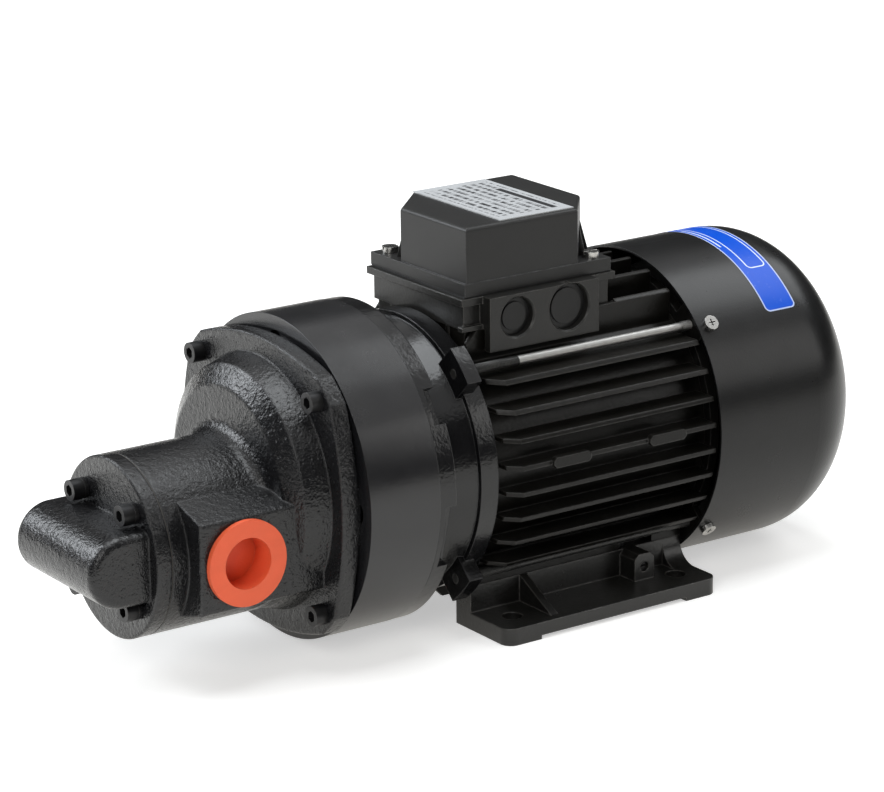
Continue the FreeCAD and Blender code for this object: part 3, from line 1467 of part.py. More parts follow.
def port_plug():
    """Transport plug: flange, recessed middle and a skirt that grips the port's thread."""
    body = new_body("PlugBody", pump_height)
    back = -size.port_face
    front = back - size.plug_flange_thickness
    skirt = size.port_radius - size.seat_gap
    turning = body.newObject("PartDesign::Revolution", "Turning")
    turning.Profile = outline(body, "XY_Plane", [
        (0, back + size.plug_depth), (0, back + size.plug_depth - size.plug_wall),
        (size.plug_recess, back + size.plug_depth - size.plug_wall), (size.plug_recess, front),
        (size.plug_flange, front), (size.plug_flange, back - size.seat_gap), (skirt, back - size.seat_gap),
        (skirt, back + size.plug_depth - size.air_gap),
        (skirt - size.air_gap, back + size.plug_depth),
    ])
    turning.ReferenceAxis = (turning.Profile[0], ["V_Axis"])
    turning.Angle = 360
    body.setExpression("Placement.Base.x", port_axis.text)
    doc.recompute()
    return node(body, "port_plug")


def terminal_box_base():
    """Open box on the frame's seat, with a lip at its top and an entry face on the -Y side."""
    long = size.box_back - size.box_front
    lip = size.box_waist
    floor = axis_height + box_seat
    top = axis_height + box_top
    high = box_top - box_seat
    outer = block(long - 2 * lip, 2 * (size.box_half_width - lip), high, size.box_front + lip,
                  lip - size.box_half_width, floor)
    rim = block(long, 2 * size.box_half_width, size.box_wall, size.box_front, -size.box_half_width,
                top - size.box_wall)
    entry = block(size.entry_back - size.entry_front, size.entry_face - size.box_half_width + size.box_wall,
                  box_top - entry_bottom, size.entry_front, -size.entry_face,
                  axis_height + entry_bottom)
    room = block(long - 2 * lip - 2 * size.box_wall, 2 * (size.box_half_width - lip - size.box_wall),
                 high, size.box_front + lip + size.box_wall, lip + size.box_wall - size.box_half_width,
                 floor + size.box_wall)
    fin_room = block(long, size.entry_face - size.box_wall, box_seat, size.box_front,
                     size.box_wall - size.entry_face + size.air_gap, axis_height)
    posts = []
    for x, y in lid_screw_places():
        posts.append(cylinder(size.lid_screw_head, high, x, y, floor, "z"))
    ledge = block(size.entry_front - size.box_front, size.box_wall, size.box_ledge, size.box_front,
                  -size.box_half_width, floor)
    solid = fuse(cut(outer, room), cut(rim, room), cut(ledge, room), cut(entry, fin_room, room), *posts)
    tools = []
    for x, radius in entry_places():
        tools.append(cylinder(radius, size.entry_depth, x, -size.entry_face, axis_height + entry_height, "y"))
        tools.append(cone(radius + size.entry_chamfer, radius, size.entry_chamfer, x, -size.entry_face,
                          axis_height + entry_height, "y"))
    for x, y in lid_screw_places():
        tools.append(cylinder(size.lid_screw_radius + size.seat_gap, size.lid_screw_grip, x, y,
                              top - size.lid_screw_grip + size.lid_flange + size.box_gasket, "z"))
    return node(cut(solid, *tools), "terminal_box_base")


def entry_places():
    return [(size.entry_left, size.entry_left_radius), (size.entry_right, size.entry_right_radius)]


def cable_entry_plugs():
    """Blind plugs sunk in the two cable entries, each with a raised middle."""
    plugs = []
    z = axis_height + entry_height
    for x, radius in entry_places():
        back = size.entry_depth - size.entry_face
        disc = cylinder(radius - size.seat_gap, size.entry_plug - size.entry_chamfer, x,
                        back - size.entry_plug + size.entry_chamfer, z, "y")
        middle = cylinder(radius - size.entry_plug_border, size.entry_plug, x, back - size.entry_plug, z, "y")
        plugs.append(fuse(disc, middle))
    return node(group(*plugs), "cable_entry_plugs")


def lid_screw_places():
    """The two cut corners of the lid."""
    front = size.box_front + size.lid_inset + size.lid_screw_inset
    back = size.box_back - size.lid_inset - size.lid_screw_inset
    side = size.box_half_width - size.lid_screw_inset
    return [(front, side), (back, -side)]


def terminal_box_gasket():
    long = size.box_back - size.box_front - 2 * size.lid_inset
    wide = 2 * (size.box_half_width - size.lid_step)
    z = axis_height + box_top
    wall = size.box_wall + size.box_waist
    outer = block(long, wide, size.box_gasket, size.box_front + size.lid_inset, -wide / 2, z)
    inner = block(long - 2 * wall, wide - 2 * wall, size.box_gasket, size.box_front + size.lid_inset + wall,
                  wall - wide / 2, z)
    holes = [cylinder(size.lid_screw_radius + size.hole_gap, size.box_gasket, x, y, z, "z")
             for x, y in lid_screw_places()]
    return node(cut(outer, inner, *holes), "terminal_box_gasket")


def lid_outline(step):
    """Plan of the lid's raised block: a rectangle with two opposite corners cut."""
    front = size.box_front + size.lid_inset + step
    back = size.box_back - size.lid_inset - step
    side = size.box_half_width - step
    far = size.lid_far_corner
    return [(front, -side), (back - size.lid_near_corner_long, -side), (back, size.lid_near_corner_wide - side),
            (back, side), (front + far, side), (front, side - far)]


def terminal_box_lid():
    """Moulded lid: flange and raised block, hollow from below."""
    body = new_body("LidBody", axis_height + box_top + size.box_gasket)
    step = size.lid_step
    wall = size.lid_wall
    front = size.box_front + size.lid_inset
    back = size.box_back - size.lid_inset
    side = size.box_half_width - step / 2
    pad(body, "XY_Plane", [(front, -side), (back, -side), (back, side), (front, side)], 0, size.lid_flange)
    pad(body, "XY_Plane", lid_outline(step), 0, size.lid_height)
    top = float(size.lid_height)
    round_edges(body, size.lid_round, lambda edge: all(abs(point.Point.z - top) < 0.01
                                                       for point in edge.Vertexes))
    pocket(body, "XY_Plane", lid_outline(step + wall), 0, size.lid_height - wall)
    tools = [cylinder(size.lid_screw_radius + size.hole_gap, size.lid_flange, x, y,
                      axis_height + box_top + size.box_gasket, "z") for x, y in lid_screw_places()]
    return node(cut(body, *tools), "terminal_box_lid")


def lid_screws():
    screws = []
    seat = axis_height + box_top + size.box_gasket + size.lid_flange
    for x, y in lid_screw_places():
        shank = cylinder(size.lid_screw_radius, size.lid_screw_grip, x, y, seat - size.lid_screw_grip, "z")
        head = cylinder(size.lid_screw_head, size.lid_screw_head_height, x, y, seat, "z")
        slot = block(2 * size.lid_screw_head, size.lid_screw_radius / 2, size.lid_screw_head_height,
                     x - size.lid_screw_head, y - size.lid_screw_radius / 4,
                     seat + size.lid_screw_head_height / 2)
        screws.append(fuse(shank, cut(head, slot)))
    return node(group(*screws), "lid_screws")


def rating_plate():
    """Bare metal plate on the lid, its back edge where the near corner's cut begins."""
    back = size.box_back - size.lid_inset - size.lid_step - size.lid_near_corner_long - size.plate_thickness
    return node(block(size.plate_length, 2 * size.plate_half_width, size.plate_thickness, back - size.plate_length,
                      -size.plate_half_width, axis_height + box_top + size.box_gasket + size.lid_height),
                "rating_plate")


def terminals():
    """Terminal block on the box's floor, with six studs."""
    middle = (size.box_front + size.box_back) / 2
    floor = axis_height + box_seat + size.box_wall
    base = block(size.terminal_block_length, size.terminal_block_width, size.terminal_block_height,
                 middle - size.terminal_block_length / 2, -size.terminal_block_width / 2, floor)
    studs = []
    holes = []
    for along in (-1, 0, 1):
        for across in (-1, 1):
            x = middle + along * size.terminal_pitch
            y = across * size.terminal_block_width / 4
            studs.append(cylinder(size.terminal_stud_radius, size.terminal_stud_height, x, y,
                                  floor + size.terminal_block_height / 3, "z"))
            holes.append(cylinder(size.terminal_stud_radius + size.seat_gap, size.terminal_stud_height, x, y,
                                  floor + size.terminal_block_height / 3, "z"))
    node(cut(base, *holes), "terminal_block")
    return node(group(*studs), "terminal_studs")


def check_and_export():
    """Stops on any failed object, then writes one file for each sub-part."""
    doc.recompute()
    for made in doc.Objects:
        if "Invalid" in made.State or "Error" in made.State:
            raise ValueError(f"{made.Name} ({made.Label}) failed: {made.State}")
    for made in nodes:
        if made.Shape.isNull() or not made.Shape.isValid() or made.Shape.Volume <= 0:
            raise ValueError(f"{made.Label} is not a valid solid")
    os.makedirs("parts", exist_ok=True)
    for made in nodes:
        made.Shape.exportStep(f"parts/{made.Label}.step")
        print(made.Label, len(made.Shape.Solids), round(made.Shape.Volume))


motor_frame()
foot(-1, "front_foot")
foot(1, "rear_foot")
foot_screws()
earth_screw()
drive_end_shield()
fan_end_shield()
tie_rods()
tie_rod_nuts()
fan_cowl()
cowl_screws()
cooling_fan()
bearings()
wave_washer()
stator_core()
stator_windings()
rotor_core()
motor_shaft()
shaft_key()
coupling()
adapter_ring()
adapter_screws()
flange_screws()
pump_body()
cover_gasket()
pump_cover()
cover_fasteners()
gears()
pump_bushes()
shaft_seal()
relief_valve()
port_plug()
terminal_box_base()
cable_entry_plugs()
terminal_box_gasket()
terminal_box_lid()
lid_screws()
rating_plate()
terminals()
check_and_export()
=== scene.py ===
import bmesh
import bpy
import json
import math
from mathutils import Matrix, Vector


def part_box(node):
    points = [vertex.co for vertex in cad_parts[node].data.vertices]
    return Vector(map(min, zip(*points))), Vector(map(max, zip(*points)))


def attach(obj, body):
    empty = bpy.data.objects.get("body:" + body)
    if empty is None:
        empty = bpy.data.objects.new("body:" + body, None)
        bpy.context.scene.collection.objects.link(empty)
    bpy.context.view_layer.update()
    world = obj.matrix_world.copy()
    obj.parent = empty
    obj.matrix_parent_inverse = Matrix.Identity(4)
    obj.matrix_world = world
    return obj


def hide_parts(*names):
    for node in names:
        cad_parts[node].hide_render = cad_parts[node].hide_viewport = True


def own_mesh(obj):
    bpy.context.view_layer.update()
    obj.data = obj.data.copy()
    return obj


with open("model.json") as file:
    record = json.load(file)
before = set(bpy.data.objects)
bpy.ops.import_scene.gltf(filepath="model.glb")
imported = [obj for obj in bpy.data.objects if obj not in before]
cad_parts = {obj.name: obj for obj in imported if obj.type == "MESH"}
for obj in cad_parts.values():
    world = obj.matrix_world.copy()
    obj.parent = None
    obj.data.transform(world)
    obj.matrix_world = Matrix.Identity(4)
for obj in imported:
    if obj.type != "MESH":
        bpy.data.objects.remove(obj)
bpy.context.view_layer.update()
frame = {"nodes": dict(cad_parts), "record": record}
nodes = frame["nodes"]
print("frame loaded:", len(nodes), "CAD nodes")

# all lengths are in metres
shaftHeight = 0.08  # the shaft over the floor
weldDistance = 0.000002  # points closer than this are one

# the camera that was fitted to the photograph, in metres, degrees and pixels
photoCamera = {
    "imageWidth": 884,
    "focalPixels": 3501.8,
    "sensorWidth": 36.0,
    "place": (-0.97514, -1.33671, 0.59491),
    "azimuth": -34.80,
    "elevation": 16.83,
    "roll": -0.583,
    "clipEnd": 50,
}


def makeCamera(settings):
    lens = bpy.data.cameras.new("photoCamera")
    lens.sensor_width = settings["sensorWidth"]
    lens.lens = settings["focalPixels"] / settings["imageWidth"] * settings["sensorWidth"]
    lens.clip_end = settings["clipEnd"]
    camera = bpy.data.objects.new("photoCamera", lens)
    bpy.context.scene.collection.objects.link(camera)
    turn = (Matrix.Rotation(math.radians(settings["azimuth"]), 4, "Z")
            @ Matrix.Rotation(math.radians(90 - settings["elevation"]), 4, "X")
            @ Matrix.Rotation(math.radians(settings["roll"]), 4, "Z"))
    camera.matrix_world = Matrix.Translation(settings["place"]) @ turn
    bpy.context.scene.camera = camera
    print("camera placed, lens", round(lens.lens, 1))


def addNode(tree, kind, inputs=(), **settings):
    node = tree.nodes.new(kind)
    for name, value in settings.items():
        setattr(node, name, value)
    for name, value in dict(inputs).items():
        if isinstance(value, bpy.types.NodeSocket):
            tree.links.new(value, node.inputs[name])
        else:
            node.inputs[name].default_value = value
    return node


def calc(tree, operation, first, second=0.0, third=0.0, clamp=False):
    node = addNode(tree, "ShaderNodeMath", {0: first, 1: second, 2: third}, operation=operation, use_clamp=clamp)
    return node.outputs[0]


def spread(tree, value, low, high, newLow=0.0, newHigh=1.0):
    # maps low..high to newLow..newHigh and holds the ends
    node = addNode(tree, "ShaderNodeMapRange", {"Value": value, "From Min": low, "From Max": high,
                                                "To Min": newLow, "To Max": newHigh})
    return node.outputs[0]


def within(tree, value, centre, half, soft):
    # 1 inside centre +- half, falling to 0 over the soft edge
    away = calc(tree, "ABSOLUTE", calc(tree, "SUBTRACT", value, centre))
    return spread(tree, away, half, half + soft, 1.0, 0.0)


def opaque(tone):
    return tuple(tone) + (1.0,)


def blendColours(tree, share, first, second):
    # share is a number or a socket, the colours are tones or sockets
    node = addNode(tree, "ShaderNodeMix", data_type="RGBA")
    for index, value in ((0, share), (6, first), (7, second)):
        if isinstance(value, bpy.types.NodeSocket):
            tree.links.new(value, node.inputs[index])
        else:
            node.inputs[index].default_value = opaque(value) if index else value
    return node.outputs[2]


def objectPlace(tree):
    return addNode(tree, "ShaderNodeTexCoord").outputs["Object"]


def noiseOf(tree, place, scale, detail=3.0, roughness=0.55, distortion=0.0):
    return addNode(tree, "ShaderNodeTexNoise", {"Vector": place, "Scale": scale, "Detail": detail,
                                                "Roughness": roughness, "Distortion": distortion}).outputs["Fac"]


def addBump(tree, height, relief, normal=None):
    inputs = {"Height": height, "Strength": 1.0, "Distance": relief}
    if normal is not None:
        inputs["Normal"] = normal
    return addNode(tree, "ShaderNodeBump", inputs).outputs[0]


def startGroup(name, inputs, outputs):
    # a shader node group with plain number inputs and the outputs that are asked for
    tree = bpy.data.node_groups.new(name, "ShaderNodeTree")
    for label, value in inputs.items():
        tree.interface.new_socket(name=label, in_out="INPUT", socket_type="NodeSocketFloat").default_value = value
    for label, kind in outputs.items():
        tree.interface.new_socket(name=label, in_out="OUTPUT", socket_type=kind)
    return tree, tree.nodes.new("NodeGroupInput").outputs, tree.nodes.new("NodeGroupOutput").inputs


def useGroup(tree, group, **inputs):
    node = tree.nodes.new("ShaderNodeGroup")
    node.node_tree = group
    for name, value in inputs.items():
        if isinstance(value, bpy.types.NodeSocket):
            tree.links.new(value, node.inputs[name])
        else:
            node.inputs[name].default_value = value
    return node.outputs


sandSkinLook = {
    "grainRise": 0.45, "lumpRise": 0.9, "pitSink": 0.35,  # shares of the relief
    "pitRange": (0.05, 0.24),  # a pit's floor and rim, in cells from a cell's middle
}


def sandSkinGroup(look):
    # sand casting under paint: fine grains, slow lumps and pits, as a height
    tree, given, out = startGroup("sandSkin", {"grain": 620.0, "lump": 120.0, "pitted": 0.5},
                                  {"height": "NodeSocketFloat", "pits": "NodeSocketFloat"})
    place = objectPlace(tree)
    grains = noiseOf(tree, place, given["grain"], detail=2.0, roughness=0.5)
    lumps = noiseOf(tree, place, given["lump"], detail=3.0, roughness=0.5, distortion=0.3)
    cells = addNode(tree, "ShaderNodeTexVoronoi", {"Vector": place, "Scale": given["lump"]}).outputs["Distance"]
    pits = calc(tree, "MULTIPLY", spread(tree, cells, *look["pitRange"], 1.0, 0.0), given["pitted"])
    height = calc(tree, "MULTIPLY_ADD", grains, look["grainRise"], calc(tree, "MULTIPLY", lumps, look["lumpRise"]))
    tree.links.new(calc(tree, "SUBTRACT", height, calc(tree, "MULTIPLY", pits, look["pitSink"])), out["height"])
    tree.links.new(pits, out["pits"])
    return tree


edgeLook = {
    "turnRange": (0.985, 0.80),  # cosine of the turn of the normal where the lighter edge (worn paint and painted highlight) starts and where it is full
    "patchScale": 160.0, "patchRange": (0.35, 0.65), "leastPatch": 0.25,  # patches, and the share of worn and highlit edge left between them
}


def roundedEdgesGroup(look):
    # a softened normal at sharp edges, and a mask of lighter edges: paint rubbed thin there, and also a painted
    # highlight along the edge
    tree, given, out = startGroup("roundedEdges", {"radius": 0.0006, "wear": 0.5},
                                  {"normal": "NodeSocketVector", "wornAndHighlit": "NodeSocketFloat"})
    bevel = addNode(tree, "ShaderNodeBevel", {"Radius": given["radius"]}, samples=4)
    geometry = tree.nodes.new("ShaderNodeNewGeometry")
    facing = addNode(tree, "ShaderNodeVectorMath", {0: bevel.outputs[0], 1: geometry.outputs["Normal"]},
                     operation="DOT_PRODUCT").outputs["Value"]
    patches = noiseOf(tree, objectPlace(tree), look["patchScale"], detail=4.0)
    patchy = spread(tree, patches, *look["patchRange"], look["leastPatch"])
    edge = spread(tree, facing, *look["turnRange"])
    wornAndHighlit = calc(tree, "MULTIPLY", calc(tree, "MULTIPLY", edge, patchy), given["wear"], clamp=True)
    tree.links.new(bevel.outputs[0], out["normal"])
    tree.links.new(wornAndHighlit, out["wornAndHighlit"])
    return tree


dustLook = {
    "patchRange": (0.3, 0.75),
    "fineScale": 900.0, "fineRange": (0.45, 0.8), "fineShare": 0.5,  # the specks in the patches
    "upRange": (0.2, 1.0),  # the normal's upward part where dust starts and where it is full
    "tone": (0.30, 0.29, 0.27), "toneOnPlastic": (0.40, 0.38, 0.35),
}


def settledDustGroup(look):
    # dust that lies on faces that look up, in uneven patches
    tree, given, out = startGroup("settledDust", {"amount": 0.3, "patch": 35.0}, {"dust": "NodeSocketFloat"})
    geometry = tree.nodes.new("ShaderNodeNewGeometry")
    up = addNode(tree, "ShaderNodeSeparateXYZ", {0: geometry.outputs["Normal"]}).outputs["Z"]
    patches = noiseOf(tree, objectPlace(tree), given["patch"], detail=6.0, roughness=0.65)
    patches = spread(tree, patches, *look["patchRange"])
    fine = spread(tree, noiseOf(tree, objectPlace(tree), look["fineScale"], detail=2.0), *look["fineRange"])
    layer = calc(tree, "MULTIPLY", spread(tree, up, *look["upRange"]),
                 calc(tree, "MULTIPLY_ADD", fine, look["fineShare"], patches))
    tree.links.new(calc(tree, "MULTIPLY", layer, given["amount"], clamp=True), out["dust"])
    return tree


recessShadeLook = {
    "openRange": (0.25, 0.8),  # the open share of the view from a surface where the painted shade is full and where it ends
    "tone": (0.012, 0.011, 0.010),
}


def paintedRecessShadeGroup(look):
    # painted shade: darker where a surface is hemmed in, as in a screw's recess or a thread's root
    tree, given, out = startGroup("paintedRecessShade", {"reach": 0.0012, "amount": 0.8}, {"recessShade": "NodeSocketFloat"})
    opened = addNode(tree, "ShaderNodeAmbientOcclusion", {"Distance": given["reach"]}, samples=8, only_local=True)
    hemmed = spread(tree, opened.outputs["AO"], *look["openRange"], 1.0, 0.0)
    tree.links.new(calc(tree, "MULTIPLY", hemmed, given["amount"], clamp=True), out["recessShade"])
    return tree


def turnedLinesGroup():
    # fine tool lines round the shaft axis, for turned faces and cylinders
    tree, given, out = startGroup("turnedLines", {"axisHeight": shaftHeight, "pitch": 2200.0},
                                  {"lines": "NodeSocketFloat"})
    parts = addNode(tree, "ShaderNodeSeparateXYZ", {0: objectPlace(tree)}).outputs
    rise = calc(tree, "SUBTRACT", parts["Z"], given["axisHeight"])
    radius = calc(tree, "SQRT", calc(tree, "MULTIPLY_ADD", rise, rise, calc(tree, "MULTIPLY", parts["Y"], parts["Y"])))
    line = addNode(tree, "ShaderNodeCombineXYZ", {"X": parts["X"], "Y": radius}).outputs[0]
    tree.links.new(noiseOf(tree, line, given["pitch"], detail=2.0, roughness=0.7), out["lines"])
    return tree


sheenLook = {
    "slowShare": 0.9, "fineShare": 0.3, "fineScale": 700.0,
    "middle": 0.6,  # what the two noises come to on average
}


def unevenSheenGroup(look):
    # slow change of roughness, with faint smears
    tree, given, out = startGroup("unevenSheen", {"base": 0.35, "swing": 0.08, "patch": 45.0},
                                  {"roughness": "NodeSocketFloat"})
    place = objectPlace(tree)
    slow = noiseOf(tree, place, given["patch"], detail=4.0, roughness=0.6, distortion=0.4)
    fine = noiseOf(tree, place, look["fineScale"], detail=2.0)
    mixed = calc(tree, "MULTIPLY_ADD", fine, look["fineShare"], calc(tree, "MULTIPLY", slow, look["slowShare"]))
    swing = calc(tree, "MULTIPLY", calc(tree, "SUBTRACT", mixed, look["middle"]), given["swing"])
    tree.links.new(calc(tree, "ADD", given["base"], calc(tree, "MULTIPLY", swing, 2.0)), out["roughness"])
    return tree


sandSkin = sandSkinGroup(sandSkinLook)
roundedEdges = roundedEdgesGroup(edgeLook)
settledDust = settledDustGroup(dustLook)
paintedRecessShade = paintedRecessShadeGroup(recessShadeLook)
turnedLines = turnedLinesGroup()
unevenSheen = unevenSheenGroup(sheenLook)


def startMaterial(name):
    material = bpy.data.materials.new(name)
    material.use_nodes = True
    tree = material.node_tree
    return material, tree, tree.nodes["Principled BSDF"]


def joinShader(tree, shader, colour, roughness, normal):
    tree.links.new(colour, shader.inputs["Base Color"])
    tree.links.new(roughness, shader.inputs["Roughness"])
    tree.links.new(normal, shader.inputs["Normal"])


def lighterTone(tone, factor):
    return tuple(min(1.0, part * factor) for part in tone)


paintWear = {
    "mottleScale": 90.0, "mottleRange": (0.35, 0.7), "mottleLighter": 1.35,
    "dustRoughness": 0.35, "pitRoughness": 0.5,  # what full dust and a pit's floor add
    "lineShare": 0.35,  # tool lines beside the paint's own peel
}


def paintMaterial(name, settings):
    # black paint: a tone, a sheen, a skin of its own, edges rubbed thin and painted lighter as a highlight, and a
    # little dust
    material, tree, shader = startMaterial(name)
    edges = useGroup(tree, roundedEdges, radius=settings["edgeRadius"], wear=settings["edgeWearAndHighlight"])
    dust = useGroup(tree, settledDust, amount=settings["dust"])["dust"]
    mottle = noiseOf(tree, objectPlace(tree), paintWear["mottleScale"], detail=4.0)
    colour = blendColours(tree, spread(tree, mottle, *paintWear["mottleRange"]), settings["tone"],
                          lighterTone(settings["tone"], paintWear["mottleLighter"]))
    # edges turn lighter: rubbed paint, and also a painted highlight
    colour = blendColours(tree, edges["wornAndHighlit"], colour, settings["edgeTone"])
    colour = blendColours(tree, dust, colour, dustLook["tone"])
    roughness = useGroup(tree, unevenSheen, base=settings["roughness"], swing=settings["swing"])["roughness"]
    roughness = calc(tree, "MULTIPLY_ADD", dust, paintWear["dustRoughness"], roughness, clamp=True)
    if settings["skin"] == "sand":
        skin = useGroup(tree, sandSkin, grain=settings["grain"], lump=settings["lump"], pitted=settings["pitted"])
        height = skin["height"]
        roughness = calc(tree, "MULTIPLY_ADD", skin["pits"], paintWear["pitRoughness"], roughness, clamp=True)
    elif settings["skin"] == "turned":
        lines = useGroup(tree, turnedLines)["lines"]
        peel = noiseOf(tree, objectPlace(tree), settings["grain"], detail=2.0)
        height = calc(tree, "MULTIPLY_ADD", lines, paintWear["lineShare"], peel)
    else:
        height = noiseOf(tree, objectPlace(tree), settings["grain"], detail=2.0)
    joinShader(tree, shader, colour, roughness, addBump(tree, height, settings["relief"], edges["normal"]))
    shader.inputs["Specular IOR Level"].default_value = settings["specular"]
    return material


metalStain = {
    "scale": 190.0, "range": (0.45, 0.75), "roughness": 0.12,
}


def metalMaterial(name, settings):
    # plated, ground or oxidised metal with drawn or turned lines, small stains, edges that are worn and painted
    # lighter as a highlight, and painted shade in recesses
    material, tree, shader = startMaterial(name)
    edges = useGroup(tree, roundedEdges, radius=settings["edgeRadius"], wear=settings.get("edgeWearAndHighlight", 0.4))
    place = addNode(tree, "ShaderNodeMapping", {"Vector": objectPlace(tree), "Scale": settings["grainStretch"]},
                    vector_type="POINT").outputs[0]
    grain = noiseOf(tree, place, settings["grain"], detail=4.0, roughness=0.65)
    stain = noiseOf(tree, objectPlace(tree), metalStain["scale"], detail=5.0)
    stain = spread(tree, stain, *metalStain["range"])
    colour = blendColours(tree, calc(tree, "MULTIPLY", stain, settings["stain"]), settings["tone"],
                          settings["stainTone"])
    # edges turn lighter: rubbed metal, and also a painted highlight
    colour = blendColours(tree, edges["wornAndHighlit"], colour, settings["edgeTone"])
    # painted shade in recesses, darker the more hemmed in the surface is
    recessShade = useGroup(tree, paintedRecessShade, amount=settings.get("recessShade", 0.85))["recessShade"]
    colour = blendColours(tree, recessShade, colour, recessShadeLook["tone"])
    swing = calc(tree, "MULTIPLY_ADD", grain, settings["swing"], settings["roughness"] - settings["swing"] / 2)
    roughness = calc(tree, "MULTIPLY_ADD", stain, metalStain["roughness"], swing, clamp=True)
    joinShader(tree, shader, colour, roughness, addBump(tree, grain, settings["relief"], edges["normal"]))
    shader.inputs["Metallic"].default_value = settings["metallic"]
    return material


mouldFlow = {
    "scale": 38.0, "range": (0.3, 0.7), "sheenSwing": 0.06, "glowThrough": (0.004, 0.0015, 0.001),
}


def mouldedMaterial(name, settings):
    # moulded plastic or rubber: flow mottle, fine texture, edges scuffed and painted lighter as a highlight, and a
    # deeper tone inside a recess as painted shade
    material, tree, shader = startMaterial(name)
    edges = useGroup(tree, roundedEdges, radius=settings["edgeRadius"], wear=settings.get("edgeWearAndHighlight", 0.25))
    dust = useGroup(tree, settledDust, amount=settings.get("dust", 0.1))["dust"]
    flow = noiseOf(tree, objectPlace(tree), mouldFlow["scale"], detail=4.0, roughness=0.6, distortion=0.6)
    colour = blendColours(tree, spread(tree, flow, *mouldFlow["range"]), settings["tone"],
                          lighterTone(settings["tone"], settings.get("mottle", 1.12)))
    # edges turn lighter: scuffed plastic, and also a painted highlight
    colour = blendColours(tree, edges["wornAndHighlit"], colour, settings["edgeTone"])
    colour = blendColours(tree, dust, colour, dustLook["toneOnPlastic"])
    # painted shade: a deeper, darker tone inside a recess such as the plug's bore
    if "recessShadeTone" in settings:
        inside = useGroup(tree, paintedRecessShade, reach=settings["recessShadeReach"], amount=1.0)["recessShade"]
        colour = blendColours(tree, inside, colour, settings["recessShadeTone"])
    texture = noiseOf(tree, objectPlace(tree), settings["grain"], detail=2.0, roughness=0.6)
    roughness = useGroup(tree, unevenSheen, base=settings["roughness"], swing=mouldFlow["sheenSwing"])["roughness"]
    joinShader(tree, shader, colour, roughness, addBump(tree, texture, settings["relief"], edges["normal"]))
    shader.inputs["Specular IOR Level"].default_value = settings.get("specular", 0.5)
    shader.inputs["Subsurface Weight"].default_value = settings.get("subsurface", 0.0)
    shader.inputs["Subsurface Radius"].default_value = mouldFlow["glowThrough"]
    return material


plateLook = {
    "tone": (0.48, 0.49, 0.50), "stainTone": (0.36, 0.36, 0.36), "inkTone": (0.02, 0.02, 0.022),
    "roughness": 0.34, "swing": 0.2, "metallic": 0.0, "relief": 0.00002,
    "stain": 0.3, "stainScale": 80.0, "stainRange": (0.5, 0.8),
    "grain": 2600.0, "grainStretch": (1.0, 0.04, 1.0),
    # the print, in shares of the plate's length and width: rows of dashes and one solid rule
    "rows": 9.0, "rowInk": 0.22, "rowSoft": 0.06, "rowShift": 7.3, "dashes": 46.0, "dashRange": (0.46, 0.54),
    "printLong": 0.42, "printWide": 0.43, "edgeSoft": 0.01,
    "rulePlace": 0.83, "ruleHalf": 0.035, "ruleStart": 0.06, "ruleEnd": 0.70,
}


def plateMarksGroup(settings):
    # printed marks, by the share of the plate's width and length
    tree, given, out = startGroup("plateMarks", {"across": 0.5, "along": 0.5}, {"ink": "NodeSocketFloat"})
    rows = calc(tree, "MULTIPLY", given["across"], settings["rows"])
    bar = within(tree, calc(tree, "FRACT", rows), 0.5, settings["rowInk"], settings["rowSoft"])
    dashPlace = addNode(tree, "ShaderNodeCombineXYZ", {
        "X": calc(tree, "MULTIPLY", calc(tree, "FLOOR", rows), settings["rowShift"]),
        "Y": calc(tree, "MULTIPLY", given["along"], settings["dashes"])}).outputs[0]
    dashes = spread(tree, noiseOf(tree, dashPlace, 1.0, detail=2.0, roughness=0.8), *settings["dashRange"])
    soft, start, end = settings["edgeSoft"], settings["ruleStart"], settings["ruleEnd"]
    inside = calc(tree, "MULTIPLY", within(tree, given["along"], 0.5, settings["printLong"], soft),
                  within(tree, given["across"], 0.5, settings["printWide"], soft))
    ink = calc(tree, "MULTIPLY", calc(tree, "MULTIPLY", bar, dashes), inside)
    rule = within(tree, given["across"], settings["rulePlace"], settings["ruleHalf"], soft)
    rule = calc(tree, "MULTIPLY", rule, spread(tree, given["along"], start, start + 2 * soft))
    rule = calc(tree, "MULTIPLY", rule, spread(tree, given["along"], end, end + 2 * soft, 1.0, 0.0))
    tree.links.new(calc(tree, "MAXIMUM", ink, rule, clamp=True), out["ink"])
    return tree


def plateMaterial(name, settings):
    # satin plate with a printed rule and rows of broken dashes
    material, tree, shader = startMaterial(name)
    place = objectPlace(tree)
    parts = addNode(tree, "ShaderNodeSeparateXYZ", {0: place}).outputs
    low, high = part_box("rating_plate")
    across = spread(tree, parts["X"], low.x, high.x)
    along = spread(tree, parts["Y"], low.y, high.y)
    marks = useGroup(tree, plateMarksGroup(settings), across=across, along=along)["ink"]
    brushed = addNode(tree, "ShaderNodeMapping", {"Vector": place, "Scale": settings["grainStretch"]}).outputs[0]
    grain = noiseOf(tree, brushed, settings["grain"], detail=3.0, roughness=0.6)
    stain = noiseOf(tree, place, settings["stainScale"], detail=5.0)
    stain = spread(tree, stain, *settings["stainRange"], 0.0, settings["stain"])
    colour = blendColours(tree, stain, settings["tone"], settings["stainTone"])
    colour = blendColours(tree, marks, colour, settings["inkTone"])
    roughness = calc(tree, "MULTIPLY_ADD", grain, settings["swing"], settings["roughness"])
    joinShader(tree, shader, colour, roughness, addBump(tree, calc(tree, "ADD", grain, marks), settings["relief"]))
    shader.inputs["Metallic"].default_value = settings["metallic"]
    return material


